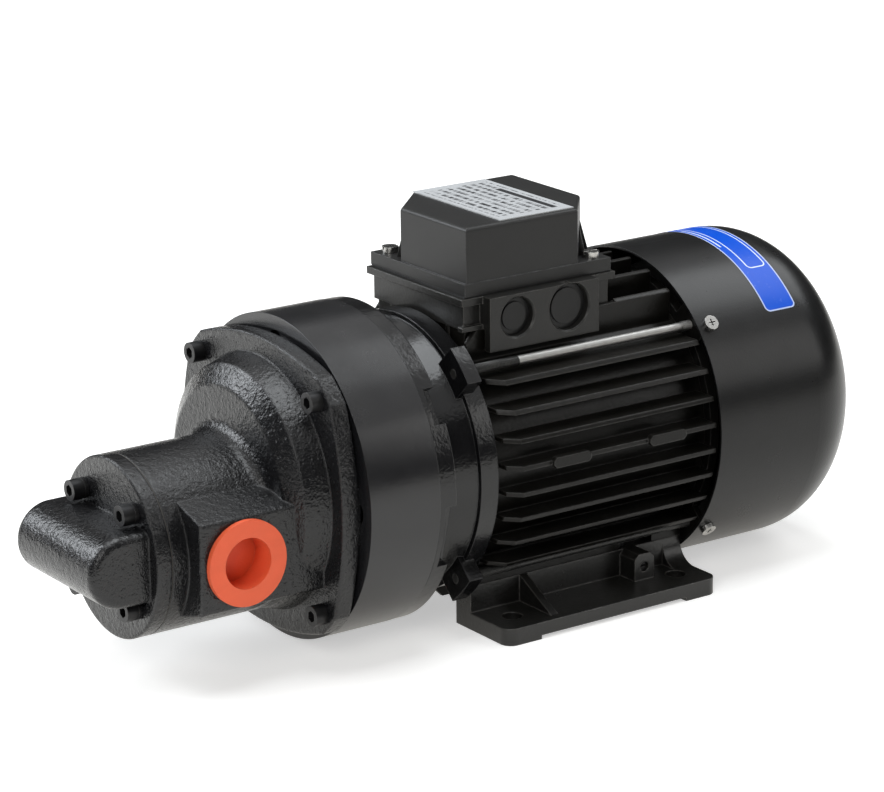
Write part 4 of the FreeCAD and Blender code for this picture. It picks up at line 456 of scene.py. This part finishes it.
# edgeTone is the colour of rubbed edges, made lighter so that it also serves as a painted edge highlight
castingPaint = {
    "tone": (0.0045, 0.0045, 0.0052), "edgeTone": (0.045, 0.045, 0.048), "edgeWearAndHighlight": 0.7, "edgeRadius": 0.0016,
    "roughness": 0.24, "swing": 0.10, "skin": "sand", "grain": 1000.0, "lump": 360.0, "pitted": 0.6,
    "relief": 0.00052, "dust": 0.02, "specular": 0.42,
}
ringPaint = {
    "tone": (0.0085, 0.0085, 0.0095), "edgeTone": (0.05, 0.05, 0.052), "edgeWearAndHighlight": 0.45, "edgeRadius": 0.0005,
    "roughness": 0.24, "swing": 0.07, "skin": "turned", "grain": 420.0, "relief": 0.00003, "dust": 0.04,
    "specular": 0.5,
}
shieldPaint = {
    "tone": (0.0045, 0.0045, 0.0050), "edgeTone": (0.06, 0.06, 0.062), "edgeWearAndHighlight": 0.6, "edgeRadius": 0.0007,
    "roughness": 0.18, "swing": 0.08, "skin": "sand", "grain": 700.0, "lump": 200.0, "pitted": 0.0,
    "relief": 0.00018, "dust": 0.02, "specular": 0.42,
}
motorPaint = {
    "tone": (0.0042, 0.0040, 0.0036), "edgeTone": (0.075, 0.072, 0.068), "edgeWearAndHighlight": 0.85, "edgeRadius": 0.0005,
    "roughness": 0.34, "swing": 0.08, "skin": "smooth", "grain": 520.0, "relief": 0.00010, "dust": 0.03,
    "specular": 0.32,
}
cowlPaint = {
    "tone": (0.0050, 0.0050, 0.0052), "edgeTone": (0.04, 0.04, 0.042), "edgeWearAndHighlight": 0.4, "edgeRadius": 0.0005,
    "roughness": 0.29, "swing": 0.05, "skin": "smooth", "grain": 950.0, "relief": 0.00004, "dust": 0.015,
    "specular": 0.30,
}
framePaint = dict(motorPaint, tone=(0.0038, 0.0034, 0.0027), edgeRadius=0.0011, specular=0.22, roughness=0.32)
# the feet take the motor's paint with a lighter tone, which is painted light on the feet
litFootPaint = dict(motorPaint, tone=(0.0060, 0.0058, 0.0052), edgeRadius=0.0011, roughness=0.30, specular=0.5,
                 edgeTone=(0.11, 0.105, 0.098), edgeWearAndHighlight=1.0)
boxPaint = dict(motorPaint, tone=(0.010, 0.0098, 0.0090), roughness=0.36, edgeRadius=0.0008,
                edgeTone=(0.13, 0.125, 0.115), edgeWearAndHighlight=1.0)
studZinc = {
    "tone": (0.36, 0.355, 0.345), "stainTone": (0.25, 0.245, 0.23), "stain": 0.4, "edgeTone": (0.60, 0.59, 0.57),
    "edgeRadius": 0.00006, "edgeWearAndHighlight": 0.1, "roughness": 0.42, "swing": 0.06, "grain": 260.0,
    # the painted recess shade is weaker on the studs
    "grainStretch": (0.1, 1.0, 1.0), "relief": 0.000004, "metallic": 1.0, "recessShade": 0.5,
}
# zinc darkened by the motor's paint on the front threads, and as painted shade on the lower pair of rods
oversprayAndShadeZinc = {
    "tone": (0.030, 0.030, 0.029), "stainTone": (0.05, 0.048, 0.042), "stain": 0.5, "edgeTone": (0.16, 0.15, 0.14),
    "edgeRadius": 0.0003, "roughness": 0.36, "swing": 0.16, "grain": 300.0, "grainStretch": (0.1, 1.0, 1.0),
    "relief": 0.00003, "metallic": 0.4,
}
lidPlastic = {
    "tone": (0.016, 0.016, 0.0158), "edgeTone": (0.12, 0.12, 0.122), "edgeWearAndHighlight": 0.9, "edgeRadius": 0.0007,
    "roughness": 0.40, "grain": 1400.0, "relief": 0.00004, "dust": 0.02, "specular": 0.28,
}
brightZinc = {
    "tone": (0.46, 0.455, 0.44), "stainTone": (0.30, 0.29, 0.27), "stain": 0.4, "edgeTone": (0.62, 0.61, 0.58),
    "edgeRadius": 0.0003, "roughness": 0.25, "swing": 0.08, "grain": 300.0, "grainStretch": (0.1, 1.0, 1.0),
    "relief": 0.00001, "metallic": 1.0,
}
blackOxide = {
    "tone": (0.014, 0.014, 0.015), "stainTone": (0.03, 0.028, 0.025), "stain": 0.4, "edgeTone": (0.16, 0.155, 0.15),
    "edgeRadius": 0.0004, "edgeWearAndHighlight": 0.6, "roughness": 0.34, "swing": 0.14, "grain": 420.0,
    "grainStretch": (1.0, 1.0, 1.0), "relief": 0.00004, "metallic": 0.5,
}
groundSteel = dict(brightZinc, tone=(0.55, 0.55, 0.56), stainTone=(0.35, 0.33, 0.3), stain=0.2, roughness=0.26,
                   grainStretch=(1.0, 0.12, 0.12))
laminatedSteel = dict(groundSteel, tone=(0.30, 0.30, 0.31), grain=2600.0, grainStretch=(1.0, 0.02, 0.02),
                      roughness=0.4)
copperWire = dict(brightZinc, tone=(0.62, 0.26, 0.11), stainTone=(0.35, 0.12, 0.05), grain=1500.0, roughness=0.35,
                  grainStretch=(1.0, 1.0, 1.0))
turnedBronze = dict(groundSteel, tone=(0.62, 0.43, 0.2), stainTone=(0.4, 0.25, 0.1))
castAluminium = dict(brightZinc, tone=(0.62, 0.62, 0.64), grain=700.0, grainStretch=(1.0, 1.0, 1.0), roughness=0.45,
                     relief=0.0001)
brightBrass = dict(brightZinc, tone=(0.78, 0.58, 0.26), stainTone=(0.5, 0.35, 0.14))
orangeMoulding = {
    "tone": (0.80, 0.122, 0.048), "edgeTone": (0.88, 0.24, 0.13), "edgeWearAndHighlight": 0.4, "edgeRadius": 0.0005,
    "roughness": 0.46, "grain": 1100.0, "relief": 0.00011, "subsurface": 0.08, "dust": 0.01, "mottle": 1.12,
    # the recess tone is painted shade in the plug's bore
    "specular": 0.38, "recessShadeTone": (0.56, 0.060, 0.012), "recessShadeReach": 0.012,
}
blackRubber = {
    "tone": (0.016, 0.016, 0.016), "edgeTone": (0.05, 0.05, 0.05), "edgeRadius": 0.0004, "roughness": 0.62,
    "grain": 1100.0, "relief": 0.00005,
}
redRubber = dict(blackRubber, tone=(0.42, 0.05, 0.03), edgeTone=(0.55, 0.12, 0.08))
blackMoulding = dict(blackRubber, tone=(0.009, 0.009, 0.009), roughness=0.38, relief=0.00003, specular=0.25)
brownMoulding = dict(blackRubber, tone=(0.10, 0.045, 0.025), roughness=0.3)
oiledPaper = dict(blackRubber, tone=(0.020, 0.017, 0.013), edgeTone=(0.05, 0.04, 0.03), roughness=0.7)

materials = {
    "casting_paint": paintMaterial("castingPaint", castingPaint),
    "ring_paint": paintMaterial("ringPaint", ringPaint),
    "motor_paint": paintMaterial("motorPaint", motorPaint),
    "cowl_paint": paintMaterial("cowlPaint", cowlPaint),
    "lid_plastic": mouldedMaterial("lidPlastic", lidPlastic),
    "bright_zinc": metalMaterial("brightZinc", brightZinc),
    "black_screw": metalMaterial("blackOxide", blackOxide),
    "ground_steel": metalMaterial("groundSteel", groundSteel),
    "core_steel": metalMaterial("laminatedSteel", laminatedSteel),
    "copper_wire": metalMaterial("copperWire", copperWire),
    "bronze": metalMaterial("turnedBronze", turnedBronze),
    "seal_rubber": mouldedMaterial("sealRubber", blackRubber),
    "spider_rubber": mouldedMaterial("redRubber", redRubber),
    "hub_metal": metalMaterial("castAluminium", castAluminium),
    "gasket_paper": mouldedMaterial("oiledPaper", oiledPaper),
    "box_seal": mouldedMaterial("foamRubber", dict(blackRubber, roughness=0.8)),
    "orange_plastic": mouldedMaterial("orangeMoulding", orangeMoulding),
    "plate_metal": plateMaterial("printedPlate", plateLook),
    "fan_plastic": mouldedMaterial("fanMoulding", blackMoulding),
    "terminal_plastic": mouldedMaterial("brownMoulding", brownMoulding),
    "terminal_brass": metalMaterial("brightBrass", brightBrass),
    "box_paint": paintMaterial("boxPaint", boxPaint),
    "shield_paint": paintMaterial("shieldPaint", shieldPaint),
    "frame_paint": paintMaterial("framePaint", framePaint),
    "foot_paint": paintMaterial("litFootPaint", litFootPaint),
    "dark_zinc": metalMaterial("oversprayAndShadeZinc", oversprayAndShadeZinc),
    "stud_zinc": metalMaterial("studZinc", studZinc),
}
# CAD nodes whose paint differs from that of their slot; the feet's lighter tone is painted light
finerFinishes = {
    "terminal_box_base": "box_paint", "drive_end_shield": "shield_paint", "motor_frame": "frame_paint",
    "front_foot": "foot_paint", "rear_foot": "foot_paint",
}
print("materials made:", len(materials))


def dressNodes():
    # every CAD node takes the material of its slot in the record
    slots = {part["node"]: part["material_slot"] for part in frame["record"]["subparts"]}
    for name, node in nodes.items():
        node.data.materials.clear()
        node.data.materials.append(materials[slots[name]])
    for name, finish in finerFinishes.items():
        nodes[name].data.materials[0] = materials[finish]
    print("CAD nodes dressed")


studio = {
    "floorSize": 12.0,
    "floorTone": (0.870, 0.858, 0.838),
    "floorInGloss": (1.0, 0.97, 0.905),
    "floorRoughness": 0.9,
    # how much the floor glows to the camera and in gloss, and how far off near ends and far starts
    "floorGlow": 0.48,
    "floorFarGlow": 0.95,
    "nearEnd": 0.5,
    "farStart": 2.5,
    "skyForLight": 0.16,
    "skyForGloss": 0.75,
    "skyForCamera": 1.0,
    "surround": {"radius": 2.4, "low": 0.0, "high": 1.9, "tone": (0.08, 0.08, 0.08)},
    "aim": (-0.03, 0.0, shaftHeight),  # where every softbox points
    "softboxes": [
        # name, place, width, depth, watts, colour
        ("overheadBox", (-0.05, 0.00, 1.50), 1.0, 0.8, 13.0, (0.93, 0.97, 1.0)),
        ("overRightBox", (1.10, 0.00, 1.20), 0.8, 0.8, 6.5, (0.95, 0.98, 1.0)),
        ("backLeftBox", (-1.00, 1.10, 0.90), 0.8, 0.8, 19.0, (0.92, 0.96, 1.0)),
        ("frontLeftBox", (-1.35, -1.10, 1.00), 0.8, 0.8, 11.0, (1.0, 0.99, 0.97)),
        ("frontRightBox", (1.20, -1.20, 0.80), 0.8, 0.8, 4.5, (1.0, 0.99, 0.97)),
    ],
}


def meshObject(name, mesh):
    data = bpy.data.meshes.new(name)
    mesh.to_mesh(data)
    mesh.free()
    made = bpy.data.objects.new(name, data)
    bpy.context.scene.collection.objects.link(made)
    return made


def makeFloor(settings):
    # a white floor that shows white to the camera and still takes a soft shadow
    mesh = bmesh.new()
    bmesh.ops.create_grid(mesh, x_segments=1, y_segments=1, size=settings["floorSize"] / 2)
    floor = meshObject("studioFloor", mesh)
    material, tree, shader = startMaterial("studioFloor")
    shader.inputs["Base Color"].default_value = opaque(settings["floorTone"])
    shader.inputs["Roughness"].default_value = settings["floorRoughness"]
    path = tree.nodes.new("ShaderNodeLightPath").outputs
    seen = calc(tree, "MAXIMUM", path["Is Camera Ray"], calc(tree, "MAXIMUM", path["Is Glossy Ray"],
                                                             path["Is Transmission Ray"]))
    distance = addNode(tree, "ShaderNodeVectorMath", {0: objectPlace(tree)}, operation="LENGTH").outputs["Value"]
    strength = spread(tree, distance, settings["nearEnd"], settings["farStart"], settings["floorGlow"],
                      settings["floorFarGlow"])
    tint = blendColours(tree, path["Is Camera Ray"], settings["floorInGloss"], (1, 1, 1))
    glow = addNode(tree, "ShaderNodeEmission", {"Color": tint, "Strength": calc(tree, "MULTIPLY", seen, strength)})
    both = addNode(tree, "ShaderNodeAddShader", {0: shader.outputs[0], 1: glow.outputs[0]})
    tree.links.new(both.outputs[0], tree.nodes["Material Output"].inputs["Surface"])
    floor.data.materials.append(material)
    print("floor laid")


def addSurround(settings):
    # a dark band low round the studio, which only reflections see
    mesh = bmesh.new()
    depth = settings["high"] - settings["low"]
    bmesh.ops.create_cone(mesh, segments=64, cap_ends=False, radius1=settings["radius"], radius2=settings["radius"],
                          depth=depth, matrix=Matrix.Translation((0, 0, settings["low"] + depth / 2)))
    band = meshObject("studioSurround", mesh)
    material, _, shader = startMaterial("studioSurround")
    shader.inputs["Base Color"].default_value = opaque(settings["tone"])
    shader.inputs["Roughness"].default_value = 1.0
    band.data.materials.append(material)
    for ray in ("camera", "diffuse", "shadow", "transmission"):
        setattr(band, "visible_" + ray, False)
    print("surround placed")


def makeSky(settings):
    # white to the camera, paler in gloss, and weak as a light
    world = bpy.data.worlds.new("studioWorld")
    bpy.context.scene.world = world
    world.use_nodes = True
    sky = world.node_tree
    path = sky.nodes.new("ShaderNodeLightPath").outputs
    seen = calc(sky, "MAXIMUM", path["Is Camera Ray"], path["Is Transmission Ray"])
    inGloss = calc(sky, "MULTIPLY_ADD", path["Is Glossy Ray"], settings["skyForGloss"] - settings["skyForLight"],
                   settings["skyForLight"])
    strength = calc(sky, "MAXIMUM", inGloss, calc(sky, "MULTIPLY", seen, settings["skyForCamera"]))
    sky.links.new(strength, sky.nodes["Background"].inputs["Strength"])
    sky.nodes["Background"].inputs["Color"].default_value = opaque((1, 1, 1))
    print("sky made")


def addSoftboxes(settings):
    for name, place, width, depth, watts, colour in settings["softboxes"]:
        lamp = bpy.data.lights.new(name, "AREA")
        lamp.shape = "RECTANGLE"
        lamp.size = width
        lamp.size_y = depth
        lamp.energy = watts
        lamp.color = colour
        box = bpy.data.objects.new(name, lamp)
        bpy.context.scene.collection.objects.link(box)
        away = Vector(place) - Vector(settings["aim"])
        box.matrix_world = Matrix.Translation(place) @ away.to_track_quat("Z", "Y").to_matrix().to_4x4()
    print("lamps placed:", len(settings["softboxes"]))


def finishPiece(mesh, name, slotName, body, replaced=(), sharpFrom=32):
    # turns an edit mesh into a smooth piece, sharp where faces turn by more degrees than sharpFrom,
    # that rides a body and stands for CAD nodes
    bmesh.ops.recalc_face_normals(mesh, faces=mesh.faces)
    piece = meshObject(name, mesh)
    for polygon in piece.data.polygons:
        polygon.use_smooth = True
    piece.data.set_sharp_from_angle(angle=math.radians(sharpFrom))
    piece.data.materials.append(materials[slotName])
    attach(piece, body)
    if replaced:
        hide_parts(*replaced)
    return piece


studs = {
    "radius": 0.0025, "shank": 0.00232, "sides": 20, "frontThread": 0.037, "backThread": 0.012,
    "pitch": 0.0008, "threadDepth": 0.00038, "lead": 0.0001,
    "crestHalf": 0.2, "flankEnd": 0.45,  # half the crest and the flank's foot, in pitches from the crest's middle
}


def spinProfile(mesh, profile, centre, steps):
    # turns a line of (along, radius) points about the X axis through the centre
    first = len(mesh.verts)
    along, side = Vector((1, 0, 0)), Vector((0, 0, 1))
    made = [mesh.verts.new(Vector(centre) + along * x + side * radius) for x, radius in profile]
    edges = [mesh.edges.new(pair) for pair in zip(made, made[1:])]
    bmesh.ops.spin(mesh, geom=made + edges, cent=centre, axis=along, angle=math.tau, steps=steps, use_merge=True)
    fresh = [vert for vert in mesh.verts if vert.index == -1 or vert.index >= first]
    bmesh.ops.remove_doubles(mesh, verts=fresh, dist=weldDistance)


def studProfile(settings, start, end):
    # half outline of a stud with a rolled thread at both ends
    pitch, crest = settings["pitch"], settings["radius"]
    root = crest - settings["threadDepth"]
    profile = [(start, 0.0), (start, root)]
    for threadStart, length in ((start, settings["frontThread"]), (end - settings["backThread"],
                                                                   settings["backThread"])):
        profile.append((threadStart + settings["lead"], root))
        for turn in range(int(length / pitch)):
            x = threadStart + (turn + 0.5) * pitch
            profile.append((x - pitch * settings["crestHalf"], crest))
            profile.append((x + pitch * settings["crestHalf"], crest))
            profile.append((x + pitch * settings["flankEnd"], root))
        profile.append((threadStart + length, settings["shank"]))
    profile[-1] = (end, root)
    profile.append((end, 0.0))
    return profile


def addTieRods(settings):
    low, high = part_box("tie_rods")
    middleY, middleZ = (low.y + high.y) / 2, (low.z + high.z) / 2
    reach = (high.y - low.y) / 2 - settings["radius"]
    profile = studProfile(settings, low.x, high.x)
    mesh = bmesh.new()
    for sideY in (-1, 1):
        for sideZ in (-1, 1):
            centre = (0, middleY + sideY * reach, middleZ + sideZ * reach)
            spinProfile(mesh, profile, centre, settings["sides"])
    rods = finishPiece(mesh, "tieRods", "bright_zinc", "housing", ("tie_rods",))
    # the lower pair is darkened as painted shade; the front threads went through the paint with the motor
    rods.data.materials[0] = materials["stud_zinc"]
    rods.data.materials.append(materials["dark_zinc"])
    paintEnd = low.x + settings["frontThread"]
    for polygon in rods.data.polygons:
        polygon.material_index = int(polygon.center.z < middleZ or polygon.center.x < paintEnd)
    print("tie rods made")


springCoil = {
    # its ends along Y, and how far the piston presses it together
    "start": -0.0128, "end": 0.0258, "lift": 0.006,
    "wire": 0.0010, "wireSides": 12, "radius": 0.0060, "turns": 6, "stepsPerTurn": 28,
}


def addReliefSpring(settings):
    # the valve's coil, made at one length between its ends; in the valve it shortens towards its plug as the piston
    # lifts
    low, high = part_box("relief_plug")
    middleX, middleZ = (low.x + high.x) / 2, (low.z + high.z) / 2
    first, last = settings["start"] + settings["wire"], settings["end"] - settings["wire"]
    steps = settings["turns"] * settings["stepsPerTurn"]
    mesh = bmesh.new()
    place = Matrix.Translation((middleX, first, middleZ + settings["radius"])) @ Matrix.Rotation(math.pi / 2, 4, "Y")
    ring = bmesh.ops.create_circle(mesh, segments=settings["wireSides"], radius=settings["wire"],
                                   matrix=place)["verts"]
    bmesh.ops.spin(mesh, geom=ring + list(mesh.edges), cent=(middleX, 0, middleZ), axis=(0, 1, 0),
                   dvec=(0, (last - first) / steps, 0), angle=math.tau * settings["turns"], steps=steps)
    bmesh.ops.holes_fill(mesh, edges=[edge for edge in mesh.edges if edge.is_boundary])
    coil = finishPiece(mesh, "reliefSpring", "ground_steel", "housing", ("relief_spring",))
    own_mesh(coil)
    print("relief spring made")


lidWebs = {
    "webs": [
        # the cut's start and end in plan, the web's place along it and its reach
        (0.0067, -0.03855, 0.0252, -0.01605, 0.0150, 0.0036),
        (0.0067, -0.03855, 0.0252, -0.01605, 0.0252, 0.0044),
        (-0.0348, 0.03855, -0.0588, 0.01455, 0.0110, 0.0040),
        (-0.0348, 0.03855, -0.0588, 0.01455, 0.0250, 0.0040),
    ],
    "thickness": 0.0014, "height": 0.0150, "crest": 0.0004, "root": 0.0006, "base": 0.1689, "round": 0.0002,
}


def addLidWebs(settings):
    # thin slanted webs that stiffen the two cut corners of the lid
    mesh = bmesh.new()
    for startX, startY, endX, endY, along, reach in settings["webs"]:
        start, end = Vector((startX, startY, 0)), Vector((endX, endY, 0))
        run = (end - start).normalized()
        outward = Vector((run.y, -run.x, 0))
        root = start + run * along
        web = bmesh.ops.create_cube(mesh, size=1.0)["verts"]
        bmesh.ops.scale(mesh, verts=web, vec=(reach + settings["root"], settings["thickness"], settings["height"]))
        bmesh.ops.translate(mesh, verts=web, vec=((reach - settings["root"]) / 2, 0, settings["height"] / 2))
        crest = [vert for vert in web if vert.co.x > 0 and vert.co.z > settings["height"] / 2]
        bmesh.ops.translate(mesh, verts=crest, vec=(settings["crest"] - reach, 0, 0))
        edges = list({edge for vert in web for edge in vert.link_edges})
        rounded = bmesh.ops.bevel(mesh, geom=edges, offset=settings["round"], affect="EDGES", segments=2,
                                  profile=0.5, material=-1)
        web = list({vert for face in rounded["faces"] for vert in face.verts})
        place = Matrix((outward, run, Vector((0, 0, 1)))).transposed().to_4x4()
        bmesh.ops.transform(mesh, verts=web, matrix=Matrix.Translation((root.x, root.y, settings["base"])) @ place)
    finishPiece(mesh, "lidWebs", "lid_plastic", "housing")
    print("lid webs made")


cowlLabel = {
    # its ends along the shaft, and in degrees round the cowl from the top
    "front": 0.1080, "back": 0.1270, "start": 49.0, "end": -25.0, "steps": 48, "lift": 0.00012, "radius": 0.0796,
    "tone": (0.001, 0.085, 0.62), "paleTone": (0.72, 0.80, 0.92), "scuffTone": (0.5, 0.6, 0.75),
    "roughness": 0.30, "swing": 0.05, "specular": 0.2, "relief": 0.00006, "rippleScale": 120.0,
    "scuff": 0.25, "scuffScale": 260.0, "scuffRange": (0.62, 0.8),
    # the print: a rim, a panel's frame and a plain stroke under it
    "corner": 0.003, "soft": 0.0001, "rimWidth": 0.0008, "rimPale": 0.7,
    "panelShift": 0.006, "panelRise": 0.0015, "panelHalf": 0.0055, "panelLong": 0.030, "panelCorner": 0.0025,
    "line": 0.00035, "strokeDrop": 0.0068, "strokePlace": 0.012, "strokeLong": 0.016, "strokeHalf": 0.0005,
    "strokeCorner": 0.0002,
}


def roundedBox(tree, across, along, halfAcross, halfAlong, corner):
    # distance outside a rounded rectangle about the origin
    outX = calc(tree, "SUBTRACT", calc(tree, "ABSOLUTE", across), halfAcross - corner)
    outY = calc(tree, "SUBTRACT", calc(tree, "ABSOLUTE", along), halfAlong - corner)
    pastX = calc(tree, "MAXIMUM", outX, 0.0)
    pastY = calc(tree, "MAXIMUM", outY, 0.0)
    far = calc(tree, "SQRT", calc(tree, "MULTIPLY_ADD", pastX, pastX, calc(tree, "MULTIPLY", pastY, pastY)))
    near = calc(tree, "MINIMUM", calc(tree, "MAXIMUM", outX, outY), 0.0)
    return calc(tree, "SUBTRACT", calc(tree, "ADD", far, near), corner)


def labelMarksGroup(settings):
    # what shows of the film, and its pale print, by the angle round the shaft and the place along it
    tree, _, out = startGroup("labelMarks", {}, {"pale": "NodeSocketFloat", "shown": "NodeSocketFloat"})
    parts = addNode(tree, "ShaderNodeSeparateXYZ", {0: objectPlace(tree)}).outputs
    angle = calc(tree, "ARCTAN2", parts["Y"], calc(tree, "SUBTRACT", parts["Z"], shaftHeight))
    radius, soft = settings["radius"], settings["soft"]
    start, end = math.radians(settings["start"]), math.radians(settings["end"])
    along = calc(tree, "MULTIPLY", calc(tree, "SUBTRACT", angle, -(start + end) / 2), radius)
    across = calc(tree, "SUBTRACT", parts["X"], (settings["front"] + settings["back"]) / 2)
    outer = roundedBox(tree, across, along, (settings["back"] - settings["front"]) / 2,
                       radius * abs(end - start) / 2, settings["corner"])
    tree.links.new(spread(tree, outer, -soft, soft, 1.0, 0.0), out["shown"])
    panel = roundedBox(tree, calc(tree, "SUBTRACT", across, settings["panelRise"]),
                       calc(tree, "SUBTRACT", along, settings["panelShift"]),
                       settings["panelHalf"], settings["panelLong"], settings["panelCorner"])
    line = calc(tree, "SUBTRACT", calc(tree, "ABSOLUTE", panel), settings["line"])
    stroke = roundedBox(tree, calc(tree, "ADD", across, settings["strokeDrop"]),
                        calc(tree, "SUBTRACT", along, settings["strokePlace"]),
                        settings["strokeHalf"], settings["strokeLong"], settings["strokeCorner"])
    marks = calc(tree, "MAXIMUM", spread(tree, line, -soft, soft, 1.0, 0.0),
                 spread(tree, stroke, -soft, soft, 1.0, 0.0))
    rim = spread(tree, calc(tree, "ADD", outer, settings["rimWidth"]), -soft, 2 * soft, 0.0, settings["rimPale"])
    tree.links.new(calc(tree, "MAXIMUM", marks, rim), out["pale"])
    return tree


def labelMaterial(name, settings):
    # printed film with rounded corners, a pale rim, a pale panel line and a pale stroke
    material, tree, shader = startMaterial(name)
    marks = useGroup(tree, labelMarksGroup(settings))
    scuffs = noiseOf(tree, objectPlace(tree), settings["scuffScale"], detail=5.0, roughness=0.7)
    scuffs = spread(tree, scuffs, *settings["scuffRange"], 0.0, settings["scuff"])
    colour = blendColours(tree, marks["pale"], settings["tone"], settings["paleTone"])
    colour = blendColours(tree, scuffs, colour, settings["scuffTone"])
    sheen = useGroup(tree, unevenSheen, base=settings["roughness"], swing=settings["swing"])["roughness"]
    ripple = noiseOf(tree, objectPlace(tree), settings["rippleScale"], detail=2.0)
    joinShader(tree, shader, colour, sheen, addBump(tree, ripple, settings["relief"]))
    tree.links.new(marks["shown"], shader.inputs["Alpha"])
    shader.inputs["Specular IOR Level"].default_value = settings["specular"]
    return material


def addCowlLabel(settings):
    # a thin printed film round the cowl
    materials["blue_label"] = labelMaterial("blueLabel", settings)
    low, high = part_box("fan_cowl")
    centre = (0, 0, (low.z + high.z) / 2)
    radius = (high.z - low.z) / 2 + settings["lift"]
    mesh = bmesh.new()
    ends = [mesh.verts.new((x, 0, centre[2] + radius)) for x in (settings["front"], settings["back"])]
    edge = mesh.edges.new(ends)
    bmesh.ops.rotate(mesh, verts=ends, cent=centre,
                     matrix=Matrix.Rotation(math.radians(settings["start"]), 3, "X"))
    bmesh.ops.spin(mesh, geom=ends + [edge], cent=centre, axis=(1, 0, 0),
                   angle=math.radians(settings["end"] - settings["start"]), steps=settings["steps"])
    finishPiece(mesh, "cowlLabel", "blue_label", "housing")
    print("cowl label made")


makeCamera(photoCamera)
makeFloor(studio)
addSurround(studio["surround"])
makeSky(studio)
addSoftboxes(studio)
bpy.context.scene.view_settings.view_transform = "Standard"
dressNodes()
addTieRods(studs)
addReliefSpring(springCoil)
addLidWebs(lidWebs)
addCowlLabel(cowlLabel)
